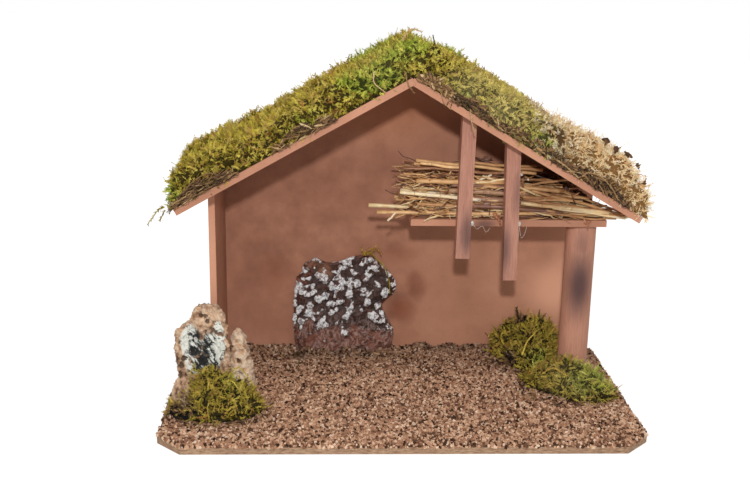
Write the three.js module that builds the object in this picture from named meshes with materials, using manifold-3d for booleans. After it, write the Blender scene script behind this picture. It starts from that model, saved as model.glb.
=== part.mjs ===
// Nativity stable: a shelter of painted hobby board on a plinth strewn with cork granules,
// with a straw loft, a painted bark hearth, cork rocks and a moss roof.
// Millimetres, +Z up. The origin is the centre of the plinth's underside and the open front faces -Y.
import * as THREE from 'three';
import { mergeVertices } from 'three/addons/utils/BufferGeometryUtils.js';
import Module from 'manifold-3d';

// All flat panels are sawn from one board
const boardThickness = 5;
const glueLine = 0.1;
const looseGap = 0.3;

// Plinth and its granules
const baseLength = 350;
const baseDepth = 190;
const baseCornerCut = 18;
const granuleDepth = 3.5;
const granuleInset = 0.4;
const granuleDips = 1.4;
const granuleDipSpacing = 11;

// Walls
const leftLedge = 29.5;
const rightLedge = 9;
const sideWallDepth = 78;

// Roof boards, measured along their undersides from the ridge
const ridgeOffset = 3;
const ridgeHeight = 248.2;
const leftPitch = THREE.MathUtils.degToRad(29.5);
const rightPitch = THREE.MathUtils.degToRad(30.2);
const leftRoofLength = 190.2;
const rightRoofLength = 192.6;
const roofDepth = 127.5;
const ridgeLap = 2;

// Loft shelf and the round column under its front corner
const loftHeight = 140.5;
const loftLength = 148;
const loftDepth = 91;
const loftInset = 11.5;
const columnDiameter = 23;
const columnSetback = 7;
const columnInset = 3;
const columnChamfer = 0.5;

// Square sticks that hang from the roof in front of the loft
const beamSection = 10.4;
const firstBeamInset = 33.2;
const beamSpacing = 36.5;
const beamDrops = [22.4, 39.3];
const beamLeans = [THREE.MathUtils.degToRad(0.8), THREE.MathUtils.degToRad(-1.1)];

// Straw in the loft
const strawRows = 12;
const strawLanes = 2;
const strawLaneSpacing = 6;
const strawFirstLane = 5.5;
const strawThinnest = 2.4;
const strawThickest = 3.4;
const strawKnuckle = 1.12;
const strawYaw = THREE.MathUtils.degToRad(2.5);
const strawOverhang = 35;
const strawStagger = 9;
const strawBedHeight = 27;
const strawRoofClearance = 3;

// Moss on the roof
const leftMossThickness = [30, 30, 23, 25, 26.5, 25.5, 24];
const rightMossThickness = [24, 28.5, 31, 31.5, 29];
const dryMossThickness = [29, 32, 33, 36];
const mossEdge = 4;
const mossShoulder = 9;
const mossBump = 1.8;
const mossOverhang = 6;
const dryMossLength = 62;

// Moss clumps on the ground
const columnClumpReach = 46;
const wallClumpReach = 58;
const rockClumpLength = 70;
const columnClumpHeight = 24;
const wallClumpHeight = 37;
const rockClumpHeight = 28;

// Painted bark hearth on the back wall
const hearthInset = 56.5;
const hearthWidth = 84;
const hearthHeight = 80;
const hearthThickness = 11;
const hearthRim = 4;

// Cork rock beside the side wall
const tallRockHeight = 72;
const tallRockWidth = 41;
const tallRockDepth = 27;
const tallRockHollow = 5;
const lowRockHeight = 48;
const rockChipHeight = 16;

// Dry leaves caught on the loft's edge
const leafLength = 12.5;

// Heights, faces and edges that several pieces share
const baseTop = boardThickness;
const groundTop = baseTop + granuleDepth;
const baseLeft = -baseLength / 2;
const baseFront = -baseDepth / 2;
const baseBack = baseDepth / 2;
const wallFront = baseBack - boardThickness;
const wallLeft = baseLeft + leftLedge;
const wallRight = baseLength / 2 - rightLedge;
const sideInner = wallLeft + boardThickness;
const sideFront = wallFront - sideWallDepth;
const ridgeX = ridgeOffset;
const roofFront = baseBack - roofDepth;
const loftTop = loftHeight + boardThickness;
const loftRight = wallRight - loftInset;
const loftLeft = loftRight - loftLength;
const loftFront = wallFront - loftDepth;
const columnRadius = columnDiameter / 2;
const columnX = loftRight - columnInset - columnRadius;
const columnY = loftFront + columnSetback + columnRadius;

const roofPitchAt = (x) => (x < ridgeX ? leftPitch : rightPitch);
const roofUnderside = (x) => ridgeHeight - Math.abs(x - ridgeX) * Math.tan(roofPitchAt(x));

const paintedBoard = { color: '#a6745b', roughness: 0.85 };
const rawBoard = { color: '#b79780', roughness: 0.9 };
const corkGrain = { color: '#987158', roughness: 0.95 };
const pineStick = { color: '#b98674', roughness: 0.8 };
const dowelWood = { color: '#9c6a58', roughness: 0.75 };
const greenMoss = { color: '#6f6a22', roughness: 1 };
const dryMoss = { color: '#b99a62', roughness: 1 };
const strawColour = { color: '#b08d5c', roughness: 0.7 };
const corkBark = { color: '#b08a6b', roughness: 0.9 };
const paintedBark = { color: '#6b4a44', roughness: 0.8 };
const driedLeaf = { color: '#a9744a', roughness: 0.7 };
const hotGlue = { color: '#c9b3a6', roughness: 0.25 };

const wasm = await Module();
wasm.setup();
const stable = new THREE.Group();

function addPiece(name, geometry, finish) {
  const material = new THREE.MeshStandardMaterial({ ...finish, metalness: 0 });
  const piece = new THREE.Mesh(geometry, material);
  piece.name = name;
  stable.add(piece);
  return piece;
}

// Repeatable random numbers between 0 and 1
function seededRandom(seed) {
  let state = seed;
  return () => {
    state = (state * 16807) % 2147483647;
    return state / 2147483647;
  };
}

// Value at share s of a smooth line through evenly spaced values
function through(values, s) {
  const points = values.map((value, index) => new THREE.Vector3(index, value, 0));
  return new THREE.CatmullRomCurve3(points).getPoint(THREE.MathUtils.clamp(s, 0, 1)).y;
}

// Quarter-round rise from an edge to full height at a given distance
function shoulder(distance, width) {
  const left = 1 - THREE.MathUtils.clamp(distance / width, 0, 1);
  return Math.sqrt(1 - left * left);
}

// Closed body between two sheets of points, the outer one facing out where columns x rows points out
function sheetBody(columns, rows, outer, inner) {
  const points = [];
  for (const sheet of [outer, inner]) {
    for (let j = 0; j <= rows; j += 1) {
      for (let i = 0; i <= columns; i += 1) {
        points.push(sheet(i / columns, j / rows));
      }
    }
  }
  const innerStart = (columns + 1) * (rows + 1);
  const at = (i, j) => j * (columns + 1) + i;
  const faces = [];
  for (let j = 0; j < rows; j += 1) {
    for (let i = 0; i < columns; i += 1) {
      const [a, b, c, d] = [at(i, j), at(i + 1, j), at(i + 1, j + 1), at(i, j + 1)];
      faces.push(a, b, c, a, c, d);
      faces.push(innerStart + a, innerStart + c, innerStart + b);
      faces.push(innerStart + a, innerStart + d, innerStart + c);
    }
  }
  const rim = [];
  for (let i = 0; i < columns; i += 1) rim.push(at(i, 0));
  for (let j = 0; j < rows; j += 1) rim.push(at(columns, j));
  for (let i = columns; i > 0; i -= 1) rim.push(at(i, rows));
  for (let j = rows; j > 0; j -= 1) rim.push(at(0, j));
  for (let k = 0; k < rim.length; k += 1) {
    const a = rim[k];
    const b = rim[(k + 1) % rim.length];
    faces.push(innerStart + a, innerStart + b, b, innerStart + a, b, a);
  }
  return bodyOf(points, faces);
}

// Closed body through rings of points that run anticlockwise from above, lowest ring first
function ringBody(rings) {
  const count = rings[0].length;
  const points = rings.flat();
  const faces = [];
  for (let k = 0; k + 1 < rings.length; k += 1) {
    for (let i = 0; i < count; i += 1) {
      const a = k * count + i;
      const b = k * count + (i + 1) % count;
      faces.push(a, b, b + count, a, b + count, a + count);
    }
  }
  const centreOf = (ring) => ring.reduce((sum, p) => sum.add(p), new THREE.Vector3()).divideScalar(count);
  const bottom = points.push(centreOf(rings[0])) - 1;
  const top = points.push(centreOf(rings[rings.length - 1])) - 1;
  const topStart = (rings.length - 1) * count;
  for (let i = 0; i < count; i += 1) {
    const next = (i + 1) % count;
    faces.push(bottom, next, i);
    faces.push(top, topStart + i, topStart + next);
  }
  return bodyOf(points, faces);
}

function bodyOf(points, faces) {
  const geometry = new THREE.BufferGeometry();
  geometry.setFromPoints(points);
  geometry.setIndex(faces);
  return geometry;
}

function solidOf(geometry) {
  const bare = new THREE.BufferGeometry();
  bare.setAttribute('position', geometry.getAttribute('position'));
  bare.setIndex(geometry.getIndex());
  const merged = mergeVertices(bare);
  const vertProperties = new Float32Array(merged.getAttribute('position').array);
  const triVerts = new Uint32Array(merged.getIndex().array);
  return new wasm.Manifold(new wasm.Mesh({ numProp: 3, vertProperties, triVerts }));
}

function geometryOf(solid) {
  const { vertProperties, triVerts } = solid.getMesh();
  const geometry = new THREE.BufferGeometry();
  geometry.setAttribute('position', new THREE.BufferAttribute(vertProperties, 3));
  geometry.setIndex(Array.from(triVerts));
  return geometry;
}

// Outline in X and Z, given clockwise or not, sawn from back to front
function panelAcross(outline, frontY, backY) {
  const shape = new THREE.Shape(outline.map(([x, z]) => new THREE.Vector2(x, z)));
  const geometry = new THREE.ExtrudeGeometry(shape, { depth: backY - frontY, bevelEnabled: false });
  geometry.rotateX(Math.PI / 2);
  geometry.translate(0, backY, 0);
  return geometry;
}

// Round rod along a smooth path
function rodAlong(path, radius, sides, steps) {
  const section = new THREE.Shape();
  for (let k = 0; k < sides; k += 1) {
    const angle = (2 * Math.PI * k) / sides;
    const place = [radius * Math.cos(angle), radius * Math.sin(angle)];
    if (k === 0) section.moveTo(...place);
    else section.lineTo(...place);
  }
  section.closePath();
  const curve = new THREE.CatmullRomCurve3(path.map((p) => new THREE.Vector3(...p)));
  return new THREE.ExtrudeGeometry(section, { extrudePath: curve, steps, bevelEnabled: false });
}

// Plinth: a board with its two front corners sawn off
function plinthOutline(inset) {
  const x = baseLength / 2 - inset;
  const y = baseDepth / 2 - inset;
  const cut = baseCornerCut;
  return [[-x + cut, -y], [x - cut, -y], [x, -y + cut], [x, y], [-x, y], [-x, -y + cut]];
}

function makePlinth() {
  const shape = new THREE.Shape(plinthOutline(0).map(([x, y]) => new THREE.Vector2(x, y)));
  const geometry = new THREE.ExtrudeGeometry(shape, { depth: boardThickness, bevelEnabled: false });
  addPiece('base_board', geometry, rawBoard);
}

// Uneven surface of the granules, over the whole plinth, as a body that reaches down to the plinth's foot
function granuleSurface() {
  const random = seededRandom(31);
  const columns = Math.round(baseLength / granuleDipSpacing);
  const rows = Math.round(baseDepth / granuleDipSpacing);
  const levels = Array.from({ length: (columns + 1) * (rows + 1) }, () => groundTop - granuleDips * random());
  const sheet = (levelAt) => (u, v) =>
    new THREE.Vector3(baseLeft + u * baseLength, baseFront + v * baseDepth, levelAt(u, v));
  const top = (u, v) => levels[Math.round(v * rows) * (columns + 1) + Math.round(u * columns)];
  return sheetBody(columns, rows, sheet(top), sheet(() => 0));
}

// Granules lie on the plinth around the walls and the column's foot
function makeGranules() {
  const clear = looseGap;
  const [frontLeft, frontRight, right, backRight, backLeft, left] = plinthOutline(granuleInset);
  const outline = [
    frontLeft, frontRight, right, backRight,
    [wallRight + clear, backRight[1]], [wallRight + clear, wallFront - clear],
    [sideInner + clear, wallFront - clear], [sideInner + clear, sideFront - clear],
    [wallLeft - clear, sideFront - clear], [wallLeft - clear, backLeft[1]],
    backLeft, left,
  ];
  const shape = new THREE.Shape(outline.map(([x, y]) => new THREE.Vector2(x, y)));
  const columnHole = new THREE.Path();
  columnHole.absarc(columnX, columnY, columnRadius + clear, 0, 2 * Math.PI, true);
  shape.holes.push(columnHole);
  const options = { depth: granuleDepth - glueLine, bevelEnabled: false, curveSegments: 18 };
  const spread = new THREE.ExtrudeGeometry(shape, options);
  spread.translate(0, 0, baseTop + glueLine);
  const granules = solidOf(spread).intersect(solidOf(granuleSurface()));
  addPiece('cork_granules', geometryOf(granules), corkGrain);
}

// Gable wall at the back and the one side wall, both cut to the roof's pitch
function makeWalls() {
  const foot = baseTop + glueLine;
  const under = (x) => roofUnderside(x) - glueLine;
  const gable = [
    [wallLeft, foot], [wallRight, foot], [wallRight, under(wallRight)],
    [ridgeX, under(ridgeX)], [wallLeft, under(wallLeft)],
  ];
  addPiece('back_wall', panelAcross(gable, wallFront, baseBack), paintedBoard);
  const side = [
    [wallLeft, foot], [sideInner, foot],
    [sideInner, under(sideInner)], [wallLeft, under(wallLeft)],
  ];
  addPiece('left_side_wall', panelAcross(side, sideFront, wallFront - glueLine), paintedBoard);
}

// The left roof board runs past the ridge with a square end, and the right one is cut to sit against it
function makeRoofBoards() {
  const ridge = new THREE.Vector2(ridgeX, ridgeHeight);
  const downLeft = new THREE.Vector2(-Math.cos(leftPitch), -Math.sin(leftPitch));
  const outLeft = new THREE.Vector2(-Math.sin(leftPitch), Math.cos(leftPitch));
  const downRight = new THREE.Vector2(Math.cos(rightPitch), -Math.sin(rightPitch));
  const outRight = new THREE.Vector2(Math.sin(rightPitch), Math.cos(rightPitch));
  const from = (start, ...moves) => {
    const point = start.clone();
    for (const [direction, length] of moves) point.addScaledVector(direction, length);
    return [point.x, point.y];
  };
  const left = [
    from(ridge, [downLeft, -ridgeLap]), from(ridge, [downLeft, -ridgeLap], [outLeft, boardThickness]),
    from(ridge, [downLeft, leftRoofLength], [outLeft, boardThickness]), from(ridge, [downLeft, leftRoofLength]),
  ];
  addPiece('roof_board_left', panelAcross(left, roofFront, baseBack), paintedBoard);
  const seat = ridge.clone().addScaledVector(downRight, glueLine);
  const seated = 0.8 * boardThickness;
  const right = [
    from(seat), from(seat, [downLeft, -ridgeLap]), from(seat, [downLeft, -ridgeLap], [outLeft, seated]),
    from(seat, [outRight, boardThickness], [downRight, -seated / 2]),
    from(seat, [outRight, boardThickness], [downRight, rightRoofLength]),
    from(seat, [downRight, rightRoofLength]),
  ];
  addPiece('roof_board_right', panelAcross(right, roofFront, baseBack), paintedBoard);
}

// Loft shelf, glued to the back wall and carried by the column
function makeLoft() {
  const geometry = new THREE.BoxGeometry(loftLength, loftDepth - glueLine, boardThickness);
  const middleY = loftFront + (loftDepth - glueLine) / 2;
  geometry.translate(loftLeft + loftLength / 2, middleY, loftHeight + boardThickness / 2);
  addPiece('loft_shelf', geometry, paintedBoard);
}

function makeColumn() {
  const low = baseTop + glueLine;
  const high = loftHeight - glueLine;
  const profile = [
    [0, low], [columnRadius - columnChamfer, low], [columnRadius, low + columnChamfer],
    [columnRadius, high - columnChamfer], [columnRadius - columnChamfer, high], [0, high],
  ];
  const geometry = new THREE.LatheGeometry(profile.map(([r, z]) => new THREE.Vector2(r, z)), 36);
  geometry.rotateX(Math.PI / 2);
  geometry.translate(columnX, columnY, 0);
  addPiece('round_column', geometry, dowelWood);
}

// Height along a line from a point to the roof's underside
function reachRoof([x, z], [dx, dz]) {
  const slope = Math.tan(rightPitch);
  const length = (ridgeHeight - (x - ridgeX) * slope - glueLine - z) / (dz + dx * slope);
  return [x + dx * length, z + dz * length];
}

function makeBeams() {
  ['hanging_beam_left', 'hanging_beam_right'].forEach((name, index) => {
    const lean = beamLeans[index];
    const up = [Math.sin(lean), Math.cos(lean)];
    const lowLeft = [loftLeft + firstBeamInset + index * beamSpacing, loftHeight - beamDrops[index]];
    const lowRight = [lowLeft[0] + beamSection * up[1], lowLeft[1] - beamSection * up[0]];
    const outline = [lowLeft, lowRight, reachRoof(lowRight, up), reachRoof(lowLeft, up)];
    const backY = loftFront - glueLine;
    addPiece(name, panelAcross(outline, backY - beamSection, backY), pineStick);
    makeGlueDab(['glue_dab_left', 'glue_dab_right'][index], lowRight, up);
  });
}

// Blob of hot glue squeezed out beside a beam, against the shelf's front edge
function makeGlueDab(name, lowRight, up) {
  const [width, depth, height] = [0.31 * beamSection, 0.21 * beamSection, 0.4 * beamSection];
  const z = loftHeight + boardThickness / 2;
  const beamFace = lowRight[0] + (z - lowRight[1]) * (up[0] / up[1]);
  const geometry = new THREE.SphereGeometry(1, 12, 8);
  geometry.scale(width / 2, depth / 2, height / 2);
  geometry.translate(beamFace + looseGap + width / 2, loftFront - looseGap - depth / 2, z);
  addPiece(name, geometry, hotGlue);
}

// Stalks lie in rows along the loft's front, each row turned a little the other way from the one below
function makeStraw() {
  const random = seededRandom(20);
  const between = (low, high) => low + (high - low) * random();
  const lowest = loftTop + looseGap;
  let top = lowest;
  for (let row = 0; row < strawRows; row += 1) {
    const radius = between(strawThinnest, strawThickest) / 2;
    const height = top + radius * strawKnuckle;
    top = height + radius * strawKnuckle + looseGap;
    const roofLimit = ridgeX + (ridgeHeight - top - strawRoofClearance) / Math.tan(rightPitch);
    for (let lane = 0; lane < strawLanes; lane += 1) {
      const longest = lane === 0 && row === 2;
      const second = lane === 0 && row === 1;
      const reach = longest || second ? strawOverhang * (longest ? 1 : 0.83) : strawStagger * random();
      const start = loftLeft + strawThickest - reach;
      const end = Math.min(loftRight + strawOverhang * (random() - 0.55), roofLimit - 2 * random());
      const middle = (start + end) / 2;
      const side = loftFront + strawFirstLane + lane * strawLaneSpacing;
      const geometry = stalk(end - start, radius, between(0.28, 0.42), between(0.6, 0.78));
      geometry.rotateZ(row % 2 ? strawYaw : -strawYaw);
      geometry.translate(middle, side, height);
      const number = String(row * strawLanes + lane + 1).padStart(2, '0');
      addPiece(`straw_stalk_${number}`, geometry, strawColour);
    }
  }
  makeStrawBed();
}

// Straw stalk along X about the origin, with two knuckles and a thinner tip
function stalk(length, radius, firstKnuckle, secondKnuckle) {
  const tip = 0.8 * radius;
  const knuckle = strawKnuckle * radius;
  const half = 1.2;
  const profile = [[0, 0], [radius, 0]];
  for (const share of [firstKnuckle, secondKnuckle]) {
    const place = share * length;
    profile.push([radius, place - half], [knuckle, place], [radius, place + half]);
  }
  profile.push([tip, length], [0, length]);
  const geometry = new THREE.LatheGeometry(profile.map(([r, y]) => new THREE.Vector2(r, y)), 8);
  geometry.translate(0, -length / 2, 0);
  geometry.rotateZ(-Math.PI / 2);
  return geometry;
}

// Mass of fine straw behind the stalks, heaped under the roof
function makeStrawBed() {
  const swing = (Math.sin(strawYaw) * (loftLength + strawOverhang)) / 2;
  const frontY = loftFront + strawFirstLane + (strawLanes - 1) * strawLaneSpacing + swing + strawThickest;
  const backY = wallFront - looseGap;
  const left = loftLeft + 3;
  const right = loftRight - 3;
  const place = (u, v) => [THREE.MathUtils.lerp(left, right, u), THREE.MathUtils.lerp(frontY, backY, v)];
  const heap = (u, v) => {
    const [x] = place(u, v);
    const ends = shoulder(Math.min(u, 1 - u) * loftLength + 3, 22);
    const ripple = 1.6 * Math.sin(9 * u + 4 * v) + 1.2 * Math.sin(5 * v - 13 * u);
    const wanted = loftTop + strawBedHeight * ends * (0.9 + 0.1 * shoulder(v, 0.4)) + ripple;
    return Math.min(wanted, roofUnderside(x) - strawRoofClearance);
  };
  const top = (u, v) => new THREE.Vector3(...place(u, v), heap(u, v));
  const bottom = (u, v) => new THREE.Vector3(...place(u, v), loftTop + looseGap);
  addPiece('straw_bed', sheetBody(14, 6, top, bottom), strawColour);
}

// Moss mat on a roof board, its thickness given as a smooth line from start to end
function mossMat(name, startX, endX, openStart, openEnd, thicknesses, phase, finish) {
  const frontY = roofFront - 0.5;
  const backY = baseBack - 1;
  const span = Math.abs(endX - startX);
  const columns = Math.max(8, Math.round(span / 8));
  const place = (u, v) => {
    const along = Math.sin(Math.PI * v) * Math.sin(7 * v + phase);
    const across = Math.sin(Math.PI * u) * Math.sin(11 * u + phase);
    const x = THREE.MathUtils.lerp(startX + (openStart ? 2 * along : 0), endX + (openEnd ? 2 * along : 0), u);
    const y = THREE.MathUtils.lerp(frontY + 1.6 * Math.abs(across), backY - 2 * Math.abs(across), v);
    return [x, y];
  };
  const height = (u, v) => {
    const fromStart = openStart ? shoulder(u * span + 1, mossShoulder) : 1;
    const fromEnd = openEnd ? shoulder((1 - u) * span + 1, mossShoulder) : 1;
    const fromFront = shoulder(v * roofDepth + 1, mossShoulder);
    const fromBack = shoulder((1 - v) * roofDepth + 1, mossShoulder);
    const [x, y] = place(u, v);
    const bumps = Math.sin(x / 8 + phase) * Math.cos(y / 9) + 0.6 * Math.sin((x + y) / 5.5 + phase);
    const rise = fromStart * fromEnd * fromFront * fromBack;
    return mossEdge + (through(thicknesses, u) - mossEdge + mossBump * bumps) * rise;
  };
  const side = endX < ridgeX ? -1 : 1;
  const bottom = (u, v) => {
    const [x, y] = place(u, v);
    return new THREE.Vector3(x, y, roofFace(x, side) + looseGap);
  };
  const top = (u, v) => bottom(u, v).add(new THREE.Vector3(0, 0, height(u, v)));
  addPiece(name, sheetBody(columns, 14, top, bottom), finish);
}

// Top face of the left (-1) or right (1) roof board, carried on as a plane past its ends
function roofFace(x, side) {
  const pitch = side < 0 ? leftPitch : rightPitch;
  return ridgeHeight + boardThickness / Math.cos(pitch) - side * (x - ridgeX) * Math.tan(pitch);
}

function makeRoofMoss() {
  const leftEave = ridgeX - leftRoofLength * Math.cos(leftPitch) - boardThickness * Math.sin(leftPitch);
  const rightEave = ridgeX + rightRoofLength * Math.cos(rightPitch) + boardThickness * Math.sin(rightPitch);
  const leftEnd = leftEave - mossOverhang;
  const rightEnd = rightEave + mossOverhang;
  const seam = rightEnd - dryMossLength;
  mossMat('roof_moss_left', leftEnd, ridgeX - 1, true, false, leftMossThickness, 0.4, greenMoss);
  mossMat('roof_moss_right', ridgeX - 1 + looseGap, seam, false, false, rightMossThickness, 2.1, greenMoss);
  mossMat('roof_moss_dry', seam + looseGap, rightEnd, false, true, dryMossThickness, 3.3, dryMoss);
  const eaveY = roofFront + 3.5;
  const startZ = roofFace(leftEnd, -1) + mossEdge;
  const path = [
    [leftEnd - looseGap, eaveY, startZ], [leftEnd - 4.5, eaveY, startZ - 1],
    [leftEnd - 8.5, eaveY, startZ - 6], [leftEnd - 13, eaveY, startZ - 12.5],
  ];
  addPiece('eave_moss_sprig', rodAlong(path, 1, 6, 10), greenMoss);
}

// Moss clump on the granules, heaped inside an outline that runs anticlockwise from above
function mossClump(name, outline, peak, height, phase) {
  const curve = new THREE.CatmullRomCurve3(outline.map(([x, y]) => new THREE.Vector3(x, y, 0)), true);
  const count = 28;
  const edge = curve.getPoints(count).slice(0, count);
  const centre = new THREE.Vector3(...peak, 0);
  const foot = groundTop + looseGap;
  const ringAt = (share, lift) => edge.map((p, index) => {
    const point = centre.clone().lerp(p, share);
    const angle = (2 * Math.PI * index) / count;
    const bump = 1 + 0.2 * share * Math.sin(5 * angle + phase) * Math.sin(9 * share + phase);
    point.z = foot + lift * bump;
    return point;
  });
  const rings = [ringAt(1, 0)];
  for (const share of [1, 0.9, 0.74, 0.55, 0.34, 0.14]) {
    rings.push(ringAt(share, mossEdge + (height - mossEdge) * (1 - share * share) ** 0.7));
  }
  addPiece(name, ringBody(rings), greenMoss);
}

// Each clump's outline and peak are shares of its reach, from the column, the wall or the plinth's edge
function makeGroundMoss() {
  const nearColumn = (columnRadius + 3) / columnClumpReach;
  const byColumn = [
    [-nearColumn, -0.04], [-0.65, 0.15], [-0.87, 0.07], [-0.78, -0.35], [-0.39, -0.7], [0.04, -1],
    [0.39, -0.96], [0.63, -0.7], [0.59, -0.43], [0.72 * nearColumn, -0.86 * nearColumn],
    [-0.02, -nearColumn], [-0.72 * nearColumn, -0.8 * nearColumn],
  ];
  const atColumn = ([x, y]) => [columnX + x * columnClumpReach, columnY + y * columnClumpReach];
  mossClump('moss_clump_column', byColumn.map(atColumn), atColumn([-0.17, -0.41]), columnClumpHeight, 0.7);
  const byWall = [
    [-0.97, -0.07], [-0.86, -0.41], [-0.74, -0.76], [-0.59, -0.95], [-0.38, -1], [-0.21, -0.9],
    [-0.09, -0.66], [-0.02, -0.41], [0, -0.1], [-0.48, -0.026],
  ];
  const atWall = ([x, y]) => [columnX + x * wallClumpReach, wallFront + y * wallClumpReach];
  mossClump('moss_clump_wall', byWall.map(atWall), atWall([-0.5, -0.29]), wallClumpHeight, 2.4);
  const byRock = [
    [0.07, -0.74], [0.07, -0.84], [0.21, -0.98], [0.46, -1.08], [0.76, -1.04], [1.03, -0.83],
    [1.01, -0.63], [0.84, -0.51], [0.6, -0.48], [0.38, -0.54], [0.24, -0.68],
  ];
  const atRock = ([x, y]) => [baseLeft + x * rockClumpLength, sideFront + y * rockClumpLength];
  mossClump('moss_clump_rock', byRock.map(atRock), atRock([0.62, -0.72]), rockClumpHeight, 1.5);
}

// Piece of cork bark standing up: sides, front and back given as smooth lines from foot to top
function barkPiece(name, height, left, right, front, back, finish) {
  const levels = 10;
  const count = 20;
  const foot = groundTop + looseGap;
  const rings = [];
  for (let k = 0; k <= levels; k += 1) {
    const v = k / levels;
    const round = k === levels ? 0.62 : 1;
    const centre = [(through(left, v) + through(right, v)) / 2, (through(front, v) + through(back, v)) / 2];
    const half = [(through(right, v) - through(left, v)) / 2, (through(back, v) - through(front, v)) / 2];
    const ring = [];
    for (let i = 0; i < count; i += 1) {
      const angle = (2 * Math.PI * i) / count;
      const squared = (value) => Math.sign(value) * Math.abs(value) ** 0.75;
      const knobble = 0.95 + 0.05 * Math.sin(3 * angle + 5 * v) * Math.cos(2 * angle - 7 * v);
      const reach = round * knobble;
      const x = centre[0] + half[0] * squared(Math.cos(angle)) * reach;
      const y = centre[1] + half[1] * squared(Math.sin(angle)) * reach;
      ring.push(new THREE.Vector3(x, y, foot + height * (k === levels ? 1 : 0.97 * v)));
    }
    rings.push(ring);
  }
  addPiece(name, ringBody(rings), finish);
}

// Edges are given as shares of each rock's own size, from the side wall's front outer corner
function makeRocks() {
  const shiftX = (size, shares) => shares.map((share) => wallLeft + share * size);
  const shiftY = (size, shares) => shares.map((share) => sideFront - share * size);
  makeTallRock(
    shiftX(tallRockWidth,
      [-0.52, -0.54, -0.55, -0.56, -0.59, -0.61, -0.6, -0.6, -0.6, -0.54, -0.3, -0.27, -0.18]),
    shiftX(tallRockWidth,
      [0.39, 0.39, 0.395, 0.4, 0.4, 0.4, 0.4, 0.4, 0.39, 0.38, 0.34, 0.28, 0.1]),
  );
  const low = lowRockHeight;
  barkPiece('cork_rock_low', low,
    shiftX(low, [0.354, 0.354, 0.358, 0.363, 0.367]), shiftX(low, [0.7, 0.667, 0.635, 0.583, 0.49]),
    shiftY(low, [0.54, 0.5, 0.46, 0.4, 0.33]), shiftY(low, [0.04, 0.04, 0.06, 0.1, 0.17]), corkBark);
  const chip = rockChipHeight;
  barkPiece('cork_rock_chip', chip,
    shiftX(chip, [-1.66, -1.62, -1.44]), shiftX(chip, [-0.66, -0.72, -0.88]),
    shiftY(chip, [2.56, 2.5, 2.19]), shiftY(chip, [1.8, 1.82, 1.88]), corkBark);
}

// Slab of bark in front of the side wall, its hollow side to the front and narrower at the back
function makeTallRock(leftEdge, rightEdge) {
  const foot = groundTop + looseGap;
  const place = (u, v) => THREE.MathUtils.lerp(through(leftEdge, v), through(rightEdge, v), u);
  const front = (u, v) => {
    const [x, z] = [place(u, v), foot + v * tallRockHeight];
    const middle = Math.sin(Math.PI * u) * Math.sin(Math.PI * Math.min(1, 1.3 * v));
    const knobs = 0.8 * Math.sin(x / 2.4) * Math.cos(z / 3.3) + 0.5 * Math.sin((x + z) / 4.1);
    const lean = 3 * v;
    return new THREE.Vector3(x, sideFront - tallRockDepth + lean + tallRockHollow * middle + knobs, z);
  };
  const back = (u, v) => {
    const middleX = (through(leftEdge, v) + through(rightEdge, v)) / 2;
    const x = THREE.MathUtils.lerp(place(u, v), middleX, 0.18);
    const round = shoulder(Math.min(u, 1 - u), 0.4) * shoulder(1 - v, 0.25);
    const y = sideFront - looseGap - 0.5 * tallRockDepth * (1 - round) - 1;
    return new THREE.Vector3(x, y, foot + v * tallRockHeight * 0.97);
  };
  addPiece('cork_rock_tall', sheetBody(14, 18, front, back), corkBark);
}

// Painted bark glued to the back wall as a hearth, knobbly in front and thin at its rim
function makeHearth() {
  const foot = groundTop + looseGap;
  const backY = wallFront - glueLine;
  const leftEdge = [0.024, 0.002, 0, -0.004, -0.002, 0.018, 0.083, 0.131, 0.214];
  const rightEdge = [0.988, 1.01, 1, 0.94, 0.895, 1.012, 1.026, 0.94, 0.798];
  const startX = sideInner + hearthInset;
  const place = (u, v) => {
    const x = startX + hearthWidth * THREE.MathUtils.lerp(through(leftEdge, v), through(rightEdge, v), u);
    return [x, foot + v * hearthHeight * (1 - 0.04 * Math.sin(6 * u))];
  };
  const thickness = (u, v) => {
    const rim = shoulder(Math.min(u, 1 - u), 0.12) * shoulder(1 - v, 0.14);
    const [x, z] = place(u, v);
    const knobs = Math.sin(x / 2.6) * Math.cos(z / 3.1) + 0.7 * Math.sin((x - z) / 4.3);
    return hearthRim + (hearthThickness - hearthRim + 1.3 * knobs) * rim;
  };
  const face = (u, v) => {
    const [x, z] = place(u, v);
    return new THREE.Vector3(x, backY - thickness(u, v), z);
  };
  const back = (u, v) => {
    const [x, z] = place(u, v);
    return new THREE.Vector3(x, backY, z);
  };
  addPiece('hearth_bark', sheetBody(20, 18, face, back), paintedBark);
  const sprigY = backY - hearthThickness - 2.5;
  const sprig = [[0.71, 1.09], [0.81, 1.05], [0.89, 0.965], [0.946, 0.834], [0.958, 0.678]];
  const path = sprig.map(([x, z]) => [startX + x * hearthWidth, sprigY, foot + z * hearthHeight]);
  addPiece('hearth_moss_sprig', rodAlong(path, 1.2, 6, 14), greenMoss);
}

// Dry leaf scrap caught on the shelf's front edge, at a share of its length, curled about its own
function leafScrap(name, along, above, length, slimness, lean) {
  const sheet = (offset) => (u, v) => {
    const half = 0.5 * slimness * length * (0.15 + 0.85 * Math.sin(Math.PI * (0.08 + 0.84 * v)));
    const across = (2 * u - 1) * half;
    const down = (v - 1) * length;
    const curl = 0.1 * length * (2 * u - 1) ** 2;
    const x = loftLeft + along * loftLength + across * Math.cos(lean) - down * Math.sin(lean);
    const z = loftTop + above * length + down * Math.cos(lean) + across * Math.sin(lean);
    return new THREE.Vector3(x, loftFront - looseGap - curl - offset, z);
  };
  addPiece(name, sheetBody(6, 8, sheet(0.05 * length), sheet(0)), driedLeaf);
}

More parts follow.
